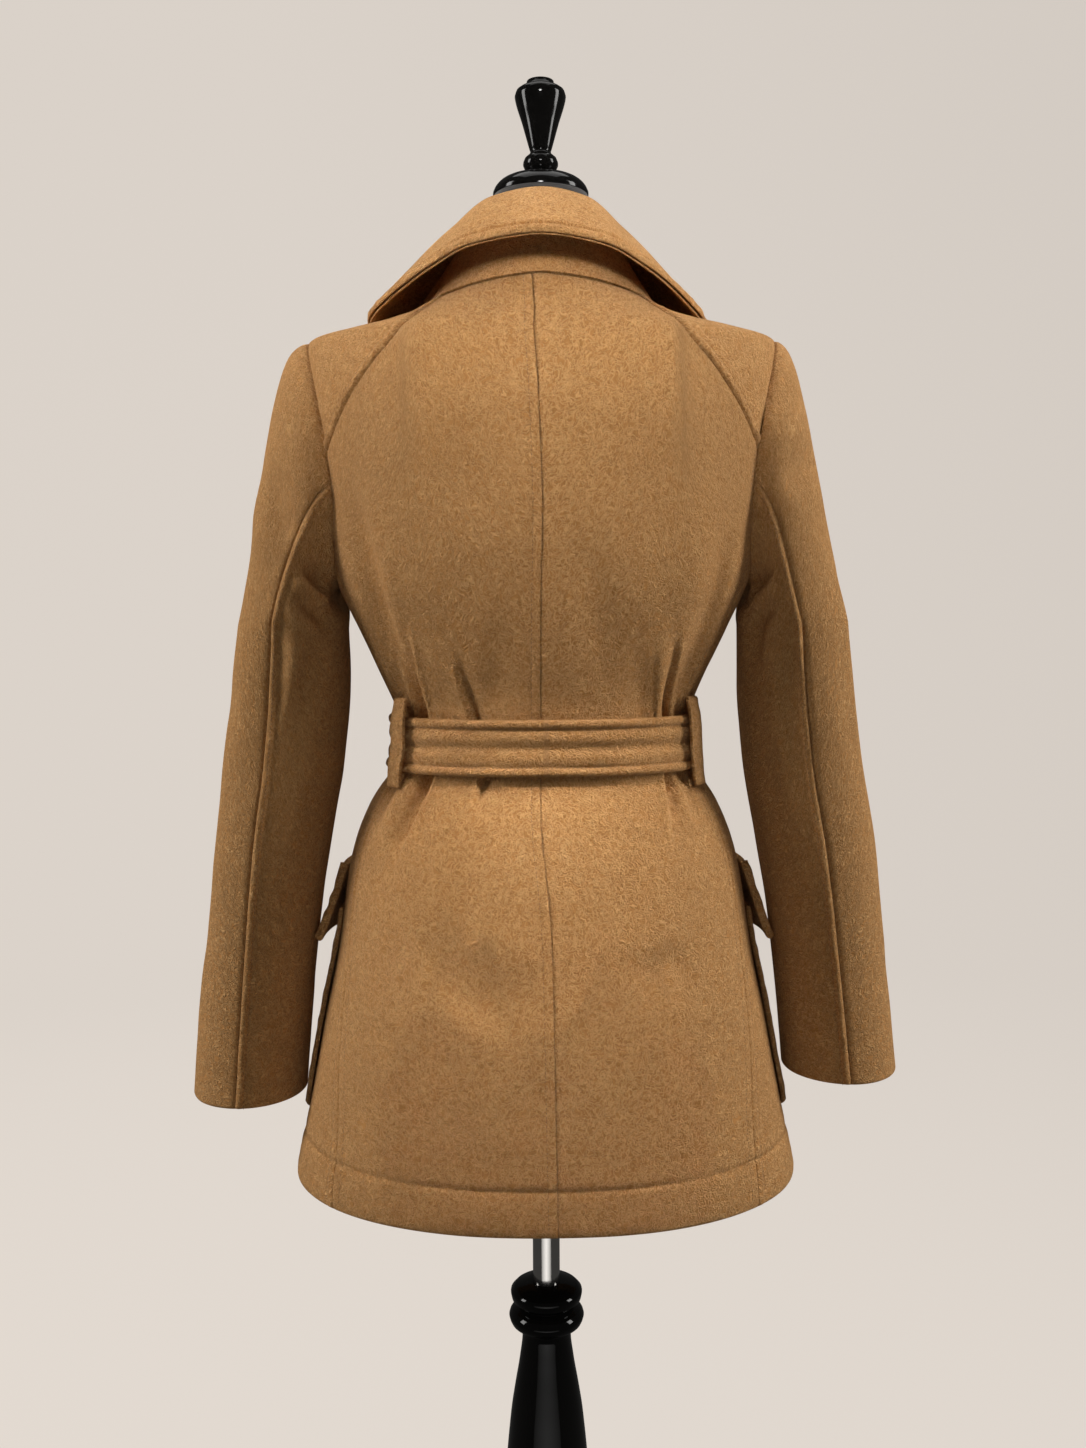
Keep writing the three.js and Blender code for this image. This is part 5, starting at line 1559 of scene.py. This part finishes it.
def lacquer_material(base):
    """Gloss black lacquer over turned wood, with faint waves and rubbed patches."""
    paint = Paint("black_lacquer")
    solid = paint.place("Object")
    waves = paint.noise(solid, 38.0, 2.0)
    dust = paint.noise(solid, 900.0, 2.0, 0.7)
    rubbed = paint.noise(solid, 9.0, 4.0, 0.6)
    return paint.finish(
        {
            "Base Color": paint.mix(rubbed, shade(base, 0.8), shade(base, 1.6)),
            "Roughness": 0.07 + 0.07 * rubbed.between(0.45, 0.75) + 0.05 * dust.between(0.62, 0.8),
            "Normal": paint.bump(waves + dust * 0.05, 0.08, 0.0006),
            "Specular IOR Level": 0.16,
        }
    )


def steel_material(base):
    """A drawn steel tube, polished, with fine lengthwise scratches."""
    paint = Paint("polished_steel")
    solid = paint.place("Object")
    drawn = paint.noise(paint.vector("MULTIPLY", solid, (1.0, 1.0, 0.02)), 1800.0, 2.0, 0.6)
    smudge = paint.noise(solid, 45.0, 4.0, 0.6)
    return paint.finish(
        {
            "Base Color": paint.mix(smudge, shade(base, 0.86), base),
            "Metallic": 1.0,
            "Roughness": 0.09 + 0.08 * smudge.between(0.4, 0.8) + 0.05 * drawn,
            "Normal": paint.bump(drawn, 0.06, 0.0002),
        }
    )


def backdrop_material(base, glow):
    """Seamless paper under its own light, with painted shade that darkens it towards -X, and the softest of clouds."""
    paint = Paint("backdrop_paper")
    solid = paint.place("Object")
    tone = paint.noise(solid, 0.35, 2.0)
    grain = paint.noise(solid, 160.0, 2.0)
    across = paint.node("ShaderNodeSeparateXYZ", {}, {"Vector": solid}, "X")
    # painted shade: the glow falls to 0.93 of the backdrop colour towards -X, the wearer's right
    shaded_glow = paint.mix(across.between(-2.4, 1.2), shade(base, 0.93), base)
    return paint.finish(
        {
            "Base Color": paint.mix(tone, shade(base, 0.11), shade(base, 0.13)),
            "Roughness": 0.9 + 0.05 * grain,
            "Specular IOR Level": 0.0,
            "Emission Color": paint.mix(tone * 0.06, shaded_glow, shade(base, 0.6)),
            "Emission Strength": glow,
        }
    )


# ---------------------------------------------------------------- topstitches


def stitch_tree(material):
    """Geometry nodes that lay stitches along lines, each turned to the cloth under it."""
    tree = bpy.data.node_groups.new("Topstitches", "GeometryNodeTree")
    face = tree.interface
    face.new_socket("Lines", in_out="INPUT", socket_type="NodeSocketGeometry")
    for name, value in (("Pitch", 0.0032), ("Stitch length", 0.0023), ("Thread width", 0.0006)):
        socket = face.new_socket(name, in_out="INPUT", socket_type="NodeSocketFloat")
        socket.default_value, socket.subtype = value, "DISTANCE"
    face.new_socket("Seed", in_out="INPUT", socket_type="NodeSocketInt").default_value = 7
    face.new_socket("Stitches", in_out="OUTPUT", socket_type="NodeSocketGeometry")

    def add(kind, **settings):
        node = tree.nodes.new(kind)
        for name, value in settings.items():
            setattr(node, name, value)
        return node

    link = tree.links.new
    given, made = add("NodeGroupInput"), add("NodeGroupOutput")
    curve = add("GeometryNodeMeshToCurve")
    link(given.outputs["Lines"], curve.inputs[0])
    even = add("GeometryNodeResampleCurve", mode="LENGTH")
    link(curve.outputs[0], even.inputs["Curve"])
    link(given.outputs["Pitch"], even.inputs["Length"])
    stitch = add("GeometryNodeMeshUVSphere")
    stitch.inputs["Segments"].default_value = 6
    stitch.inputs["Rings"].default_value = 4
    stitch.inputs["Radius"].default_value = 0.5
    tangent, up = add("GeometryNodeInputTangent"), add("GeometryNodeInputNamedAttribute", data_type="FLOAT_VECTOR")
    up.inputs["Name"].default_value = "up"
    forward = add("FunctionNodeAlignRotationToVector", axis="X", pivot_axis="AUTO")
    upright = add("FunctionNodeAlignRotationToVector", axis="Z", pivot_axis="X")
    link(tangent.outputs[0], forward.inputs["Vector"])
    link(forward.outputs[0], upright.inputs["Rotation"])
    link(up.outputs["Attribute"], upright.inputs["Vector"])
    size = add("ShaderNodeCombineXYZ")
    link(given.outputs["Stitch length"], size.inputs["X"])
    link(given.outputs["Thread width"], size.inputs["Y"])
    link(given.outputs["Thread width"], size.inputs["Z"])
    vary = add("FunctionNodeRandomValue", data_type="FLOAT_VECTOR")
    vary.inputs["Min"].default_value = (0.88, 0.9, 0.9)
    vary.inputs["Max"].default_value = (1.06, 1.1, 1.1)
    link(given.outputs["Seed"], vary.inputs["Seed"])
    scaled = add("ShaderNodeVectorMath", operation="MULTIPLY")
    link(size.outputs[0], scaled.inputs[0])
    link(vary.outputs[0], scaled.inputs[1])
    laid = add("GeometryNodeInstanceOnPoints")
    link(even.outputs[0], laid.inputs["Points"])
    link(stitch.outputs["Mesh"], laid.inputs["Instance"])
    link(upright.outputs[0], laid.inputs["Rotation"])
    link(scaled.outputs[0], laid.inputs["Scale"])
    whole, coloured, even_shade = (
        add("GeometryNodeRealizeInstances"),
        add("GeometryNodeSetMaterial"),
        add("GeometryNodeSetShadeSmooth"),
    )
    coloured.inputs["Material"].default_value = material
    link(laid.outputs[0], even_shade.inputs[0])
    link(even_shade.outputs[0], whole.inputs[0])
    link(whole.outputs[0], coloured.inputs["Geometry"])
    link(coloured.outputs[0], made.inputs[0])
    return tree


def sewn_lines(name, lines, tree, pitch=0.0032):
    """Stitches along lines of (points, ways up), as one plain mesh."""
    points, edges, ups = [], [], []
    for line, up in lines:
        first = len(points)
        sunk = line - unit(up) * 0.08
        points += (sunk * METRES).tolist()
        ups += unit(up).tolist()
        edges += [(first + i, first + i + 1) for i in range(len(line) - 1)]
    mesh = bpy.data.meshes.new(name)
    mesh.from_pydata(points, edges, [])
    layer = mesh.attributes.new("up", "FLOAT_VECTOR", "POINT")
    layer.data.foreach_set("vector", np.asarray(ups, np.float32).ravel())
    made = bpy.data.objects.new(name, mesh)
    bpy.context.scene.collection.objects.link(made)
    modifier = made.modifiers.new("Topstitches", "NODES")
    modifier.node_group = tree
    sockets = {s.name: s.identifier for s in tree.interface.items_tree if s.in_out == "INPUT"}
    modifier[sockets["Pitch"]] = pitch
    modifier[sockets["Seed"]] = 7
    seen = made.evaluated_get(bpy.context.evaluated_depsgraph_get())
    plain = bpy.data.meshes.new_from_object(seen)
    made.modifiers.remove(modifier)
    made.data = plain
    return made


# ---------------------------------------------------------------- the pieces as operators

ROOT = "root"
materials = {}
stitched = {}


def material(key):
    """The scene's finishes, each made once from the panel's colours."""
    if key in materials:
        return materials[key]
    cloth = bpy.context.scene.coat_cloth
    stand = bpy.context.scene.coat_stand
    base = colour(*cloth.wool)
    makers = {
        "wool": lambda: wool_material("camel_wool", base, colour(*cloth.nap)),
        "thread": lambda: thread_material(base),
        "cover": lambda: cover_material(colour(*stand.cover)),
        "lacquer": lambda: lacquer_material(colour(*stand.lacquer)),
        "steel": lambda: steel_material(colour(*stand.steel)),
    }
    materials[key] = makers[key]()
    return materials[key]


def dress(made, key, node):
    """Gives a finished piece its name, material, CAD node and body."""
    made.name = made.data.name = f"{key}_{node}"
    made.data.materials.clear()
    made.data.materials.append(material(key))
    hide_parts(node)
    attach(made, ROOT)
    return made


def threads(name, lines):
    if "tree" not in stitched:
        stitched["tree"] = stitch_tree(material("thread"))
    made = sewn_lines(name, lines, stitched["tree"])
    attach(made, ROOT)
    return made


def cloth_piece(made, node, lines=()):
    """A finished sheet of cloth, with the threads that it carries."""
    dress(made, "wool", node)
    carried = [threads(f"stitches_{node}", lines)] if lines else []
    return made


SEWN_COLUMN = SEWN.index(STITCH_LINE)


class CoatClothSettings(bpy.types.PropertyGroup):
    wool: bpy.props.FloatVectorProperty(
        name="Wool", description="Colour of the felted ground", subtype="COLOR", size=3, default=(0.48, 0.228, 0.075), min=0, max=1
    )
    nap: bpy.props.FloatVectorProperty(
        name="Nap", description="Colour of the fibres' tips", subtype="COLOR", size=3, default=(0.74, 0.435, 0.185), min=0, max=1
    )


class CoatStandSettings(bpy.types.PropertyGroup):
    cover: bpy.props.FloatVectorProperty(
        name="Cover", description="Colour of the form's jersey", subtype="COLOR", size=3, default=(0.022, 0.02, 0.019), min=0, max=1
    )
    lacquer: bpy.props.FloatVectorProperty(
        name="Lacquer", description="Colour of the turned parts", subtype="COLOR", size=3, default=(0.003, 0.0028, 0.0026), min=0, max=1
    )
    steel: bpy.props.FloatVectorProperty(
        name="Steel", description="Colour of the pole", subtype="COLOR", size=3, default=(0.62, 0.60, 0.57), min=0, max=1
    )


class CoatStageSettings(bpy.types.PropertyGroup):
    backdrop: bpy.props.FloatVectorProperty(
        name="Backdrop", description="Colour of floor and wall", subtype="COLOR", size=3, default=(0.708, 0.648, 0.59), min=0, max=1
    )
    glow: bpy.props.FloatProperty(name="Backdrop light", description="Brightness of floor and wall", default=0.985, min=0)
    key: bpy.props.FloatProperty(name="Key light", description="Power of the overhead light", default=42.0, min=0, unit="POWER")
    side: bpy.props.FloatProperty(name="Side light", description="Power of each side light", default=43.0, min=0, unit="POWER")
    fill: bpy.props.FloatProperty(name="Fill light", description="Brightness of the room's air", default=0.065, min=0)


class COAT_OT_body(bpy.types.Operator):
    """Makes the backs, side-backs, fronts and yokes"""

    bl_idname = "coat.body"
    bl_label = "Body panels"

    def execute(self, context):
        for side, sign in (("left", 1), ("right", -1)):
            made, outer, up = back_panel(sign, side)
            lines = [(outer[6:, SEWN_COLUMN], up[6:, SEWN_COLUMN])] if sign > 0 else []
            column = -1 - SEWN_COLUMN
            lines.append((outer[6:, column], up[6:, column]))
            cloth_piece(made, f"back_{side}", lines)
            made, outer, up = side_back_panel(sign, side)
            cloth_piece(made, f"side_back_{side}", [(outer[6:, SEWN_COLUMN], up[6:, SEWN_COLUMN])])
            made, outer, up = front_panel(sign, side)
            cloth_piece(made, f"front_{side}", [(outer[6:, column], up[6:, column])])
            made, outer, up = yoke_panel(sign, side)
            cloth_piece(made, f"yoke_{side}", [(outer[3:-3, SEWN_COLUMN], up[3:-3, SEWN_COLUMN])])
        return {"FINISHED"}


class COAT_OT_sleeves(bpy.types.Operator):
    """Makes the top and under parts of both sleeves"""

    bl_idname = "coat.sleeves"
    bl_label = "Sleeves"

    def execute(self, context):
        for side, sign in (("left", 1), ("right", -1)):
            made, _, _ = sleeve_part(
                f"sleeve_top_{side}",
                sign,
                side,
                SLEEVE_FRONT_SEAM - 360,
                SLEEVE_BACK_SEAM,
                70,
                {"start": "plain", "end": "plain"},
            )
            cloth_piece(made, f"sleeve_top_{side}")
            made, outer, up = sleeve_part(
                f"sleeve_under_{side}",
                sign,
                side,
                SLEEVE_BACK_SEAM,
                SLEEVE_FRONT_SEAM,
                38,
                {"start": "welted", "end": "plain"},
            )
            line = (outer[6:, SEWN_COLUMN], up[6:, SEWN_COLUMN])
            cloth_piece(made, f"sleeve_under_{side}", [line])
        return {"FINISHED"}


class COAT_OT_collar(bpy.types.Operator):
    """Makes the two plies of the collar"""

    bl_idname = "coat.collar"
    bl_label = "Collar"

    def execute(self, context):
        made, outer, up = collar_layer("collar_upper", 1)
        row = -1 - SEWN_COLUMN
        sides = [(outer[8:row, column], up[8:row, column]) for column in (SEWN_COLUMN, row)]
        rim = (outer[row, SEWN_COLUMN : row + 1], up[row, SEWN_COLUMN : row + 1])
        cloth_piece(made, "collar_upper", [rim, *sides])
        made, _, _ = collar_layer("collar_under", -1)
        cloth_piece(made, "collar_under")
        return {"FINISHED"}


class COAT_OT_belt(bpy.types.Operator):
    """Makes the belt, its knot and tails, and the two loops"""

    bl_idname = "coat.belt"
    bl_label = "Belt"

    def execute(self, context):
        made, outer, up = belt_band()
        lines = []
        for row in (SEWN_COLUMN, -1 - SEWN_COLUMN):
            lines.append((np.concatenate([outer[row], outer[row, :1]]), np.concatenate([up[row], up[row, :1]])))
        cloth_piece(made, "belt_band", lines)
        knot = belt_knot()
        dress(knot, "wool", "belt_knot")
        for side, sign in (("left", 1), ("right", -1)):
            made, outer, up = belt_tail(side)
            column, row = -1 - SEWN_COLUMN, -1 - SEWN_COLUMN
            lines = [(outer[4:row, c], up[4:row, c]) for c in (SEWN_COLUMN, column)]
            lines.append((outer[row, SEWN_COLUMN : column + 1], up[row, SEWN_COLUMN : column + 1]))
            cloth_piece(made, f"belt_tail_{side}", lines)
            made, outer, up = belt_loop(sign, side)
            lines = [(outer[4:-4, c], up[4:-4, c]) for c in (4, -5)]
            cloth_piece(made, f"belt_loop_{side}", lines)
        return {"FINISHED"}


class COAT_OT_pockets(bpy.types.Operator):
    """Makes the patch pockets and their flaps"""

    bl_idname = "coat.pockets"
    bl_label = "Pockets"

    def execute(self, context):
        last = -1 - SEWN_COLUMN
        for side, sign in (("left", 1), ("right", -1)):
            made, outer, up = pocket_patch(sign, side)
            lines = [(outer[SEWN_COLUMN:-3, c], up[SEWN_COLUMN:-3, c]) for c in (SEWN_COLUMN, last)]
            lines.append((outer[SEWN_COLUMN, SEWN_COLUMN : last + 1], up[SEWN_COLUMN, SEWN_COLUMN : last + 1]))
            cloth_piece(made, f"pocket_{side}", lines)
            made, outer, up = pocket_flap(sign, side)
            lines = [(outer[2:last, c], up[2:last, c]) for c in (SEWN_COLUMN, last)]
            lines.append((outer[last, SEWN_COLUMN : last + 1], up[last, SEWN_COLUMN : last + 1]))
            cloth_piece(made, f"pocket_flap_{side}", lines)
        return {"FINISHED"}


class COAT_OT_stand(bpy.types.Operator):
    """Makes the dress form, its cap and finial, the pole, the post and the base"""

    bl_idname = "coat.stand"
    bl_label = "Form and stand"

    def execute(self, context):
        dress(form_body(), "cover", "form_torso")
        turned = (
            ("neck_cap", NECK_CAP, "form_neck_cap"),
            ("finial_turned", FINIAL, "finial"),
            ("post_turned", POST, "stand_post"),
            ("base_turned", BASE, "stand_base"),
        )
        for name, rows, node in turned:
            dress(lathe(name, turned_profile(rows)), "lacquer", node)
        profile = [(POLE_RADIUS, POLE_FOOT), (POLE_RADIUS, (POLE_FOOT + POLE_TOP) / 2), (POLE_RADIUS, POLE_TOP)]
        dress(lathe("pole_tube", profile), "steel", "pole")
        return {"FINISHED"}


# ---------------------------------------------------------------- stage

CAMERA_PLACE = (0.0, 1.1, 1.13)
LENS = 33.34  # mm, for a sensor 36 mm high
RISE_SHIFT = -0.0718  # keeps the camera level while it looks at the middle of the object
ROLL = -0.298  # degrees


def room():
    """A round floor that curves up into a wall on every side."""
    floor, bend, top = 3.4, 1.4, 5.5
    turns = np.linspace(0, np.pi / 2, 24)
    profile = [(0.02, 0)] + [(floor * part, 0) for part in (0.2, 0.5, 0.8)]
    profile += [(floor + bend * math.sin(t), bend - bend * math.cos(t)) for t in turns]
    profile += [(floor + bend, top)]
    segments = 128
    angles = np.linspace(0, 2 * np.pi, segments, endpoint=False)
    radius, height = (np.array([row[i] for row in profile]) for i in (0, 1))
    points = np.stack(
        [radius[:, None] * np.cos(angles), radius[:, None] * np.sin(angles), height[:, None] + 0 * angles],
        axis=-1,
    )
    points = np.concatenate([points.reshape(-1, 3), [(0, 0, 0)]])
    faces = [(len(points) - 1, i, (i + 1) % segments) for i in range(segments)]
    for row in range(len(profile) - 1):
        for i in range(segments):
            j = (i + 1) % segments
            faces.append((row * segments + i, (row + 1) * segments + i, (row + 1) * segments + j, row * segments + j))
    return mesh_object("room", points / METRES, faces)


def area_light(name, place, target, size, power, spread=180):
    light = bpy.data.lights.new(name, "AREA")
    light.shape, light.size, light.size_y = "RECTANGLE", size[0], size[1]
    light.energy, light.color, light.spread = power, (1.0, 0.985, 0.965), math.radians(spread)
    made = bpy.data.objects.new(name, light)
    made.visible_camera = False
    made.location = place
    made.rotation_euler = (Vector(target) - Vector(place)).to_track_quat("-Z", "Y").to_euler()
    bpy.context.scene.collection.objects.link(made)
    return made


class COAT_OT_stage(bpy.types.Operator):
    """Makes the room, the light and the camera"""

    bl_idname = "coat.stage"
    bl_label = "Stage"

    def execute(self, context):
        settings = context.scene.coat_stage
        made = room()
        made.data.materials.append(backdrop_material(colour(*settings.backdrop), settings.glow))
        made.visible_diffuse = made.visible_glossy = made.visible_shadow = False
        world = bpy.data.worlds.new("Room light")
        world.use_nodes = True
        sky = world.node_tree.nodes["Background"]
        sky.inputs["Color"].default_value = colour(1.0, 0.975, 0.94)
        sky.inputs["Strength"].default_value = settings.fill
        context.scene.world = world
        key, side = settings.key, settings.side
        area_light("Overhead", (0, 0, 3.2), (0, 0, 1), (2, 1.6), key * 0.57)
        area_light("Collar", (0, 1.7, 1.62), (0, 0.08, 1.41), (0.3, 0.3), key * 0.0075, 16)
        area_light("Hip", (0, 0.75, 2.6), (0, 0.1, 0.9), (0.2, 0.12), key * 0.0036, 10)
        area_light("Floor", (0, 1.3, 0.1), (0, 0, 0.75), (2, 0.6), key * 0.03, 90)
        area_light("Right", (-2.1, 0.35, 2.0), (0, 0, 1.2), (0.6, 1.6), side * 1.1)
        area_light("Left", (2.1, 0.35, 2.0), (0, 0, 1.2), (0.6, 1.6), side)
        front = area_light("Front", (0.5, -2.4, 1.9), (0, 0, 1.1), (1.4, 1.6), side * 0.45)
        front.visible_glossy = False  # or it edges the lacquer with white from behind
        context.scene.view_settings.view_transform = "Standard"
        lens = bpy.data.cameras.new("Camera")
        lens.sensor_width, lens.lens = 36.0, LENS
        lens.shift_y = RISE_SHIFT
        camera = bpy.data.objects.new("Camera", lens)
        facing = Matrix.Rotation(math.pi, 4, "Z") @ Matrix.Rotation(math.pi / 2, 4, "X")
        camera.matrix_world = Matrix.Translation(CAMERA_PLACE) @ facing @ Matrix.Rotation(math.radians(ROLL), 4, "Z")
        context.scene.collection.objects.link(camera)
        context.scene.camera = camera
        return {"FINISHED"}


class COAT_PT_panel(bpy.types.Panel):
    """Lists the coat's settings and the operators that make its pieces"""

    bl_idname = "COAT_PT_panel"
    bl_label = "Belted coat"
    bl_space_type = "VIEW_3D"
    bl_region_type = "UI"
    bl_category = "Coat"

    def draw(self, context):
        for name in ("coat_cloth", "coat_stand", "coat_stage"):
            settings = getattr(context.scene, name)
            box = self.layout.box()
            for key in settings.__annotations__:
                box.prop(settings, key)
        for operator in OPERATORS:
            self.layout.operator(operator.bl_idname)


OPERATORS = (
    COAT_OT_stage,
    COAT_OT_stand,
    COAT_OT_body,
    COAT_OT_sleeves,
    COAT_OT_collar,
    COAT_OT_belt,
    COAT_OT_pockets,
)
SETTINGS = {
    "coat_cloth": CoatClothSettings,
    "coat_stand": CoatStandSettings,
    "coat_stage": CoatStageSettings,
}


def register():
    for name, kind in SETTINGS.items():
        bpy.utils.register_class(kind)
        setattr(bpy.types.Scene, name, bpy.props.PointerProperty(type=kind))
    for kind in (*OPERATORS, COAT_PT_panel):
        bpy.utils.register_class(kind)


def unregister():
    for kind in (COAT_PT_panel, *reversed(OPERATORS)):
        bpy.utils.unregister_class(kind)
    for name, kind in reversed(SETTINGS.items()):
        delattr(bpy.types.Scene, name)
        bpy.utils.unregister_class(kind)


def main():
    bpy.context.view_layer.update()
    register()
    bpy.ops.coat.stage()
    bpy.ops.coat.stand()
    bpy.ops.coat.body()
    bpy.ops.coat.sleeves()
    bpy.ops.coat.collar()
    bpy.ops.coat.belt()
    bpy.ops.coat.pockets()


if __name__ == "__main__":
    main()
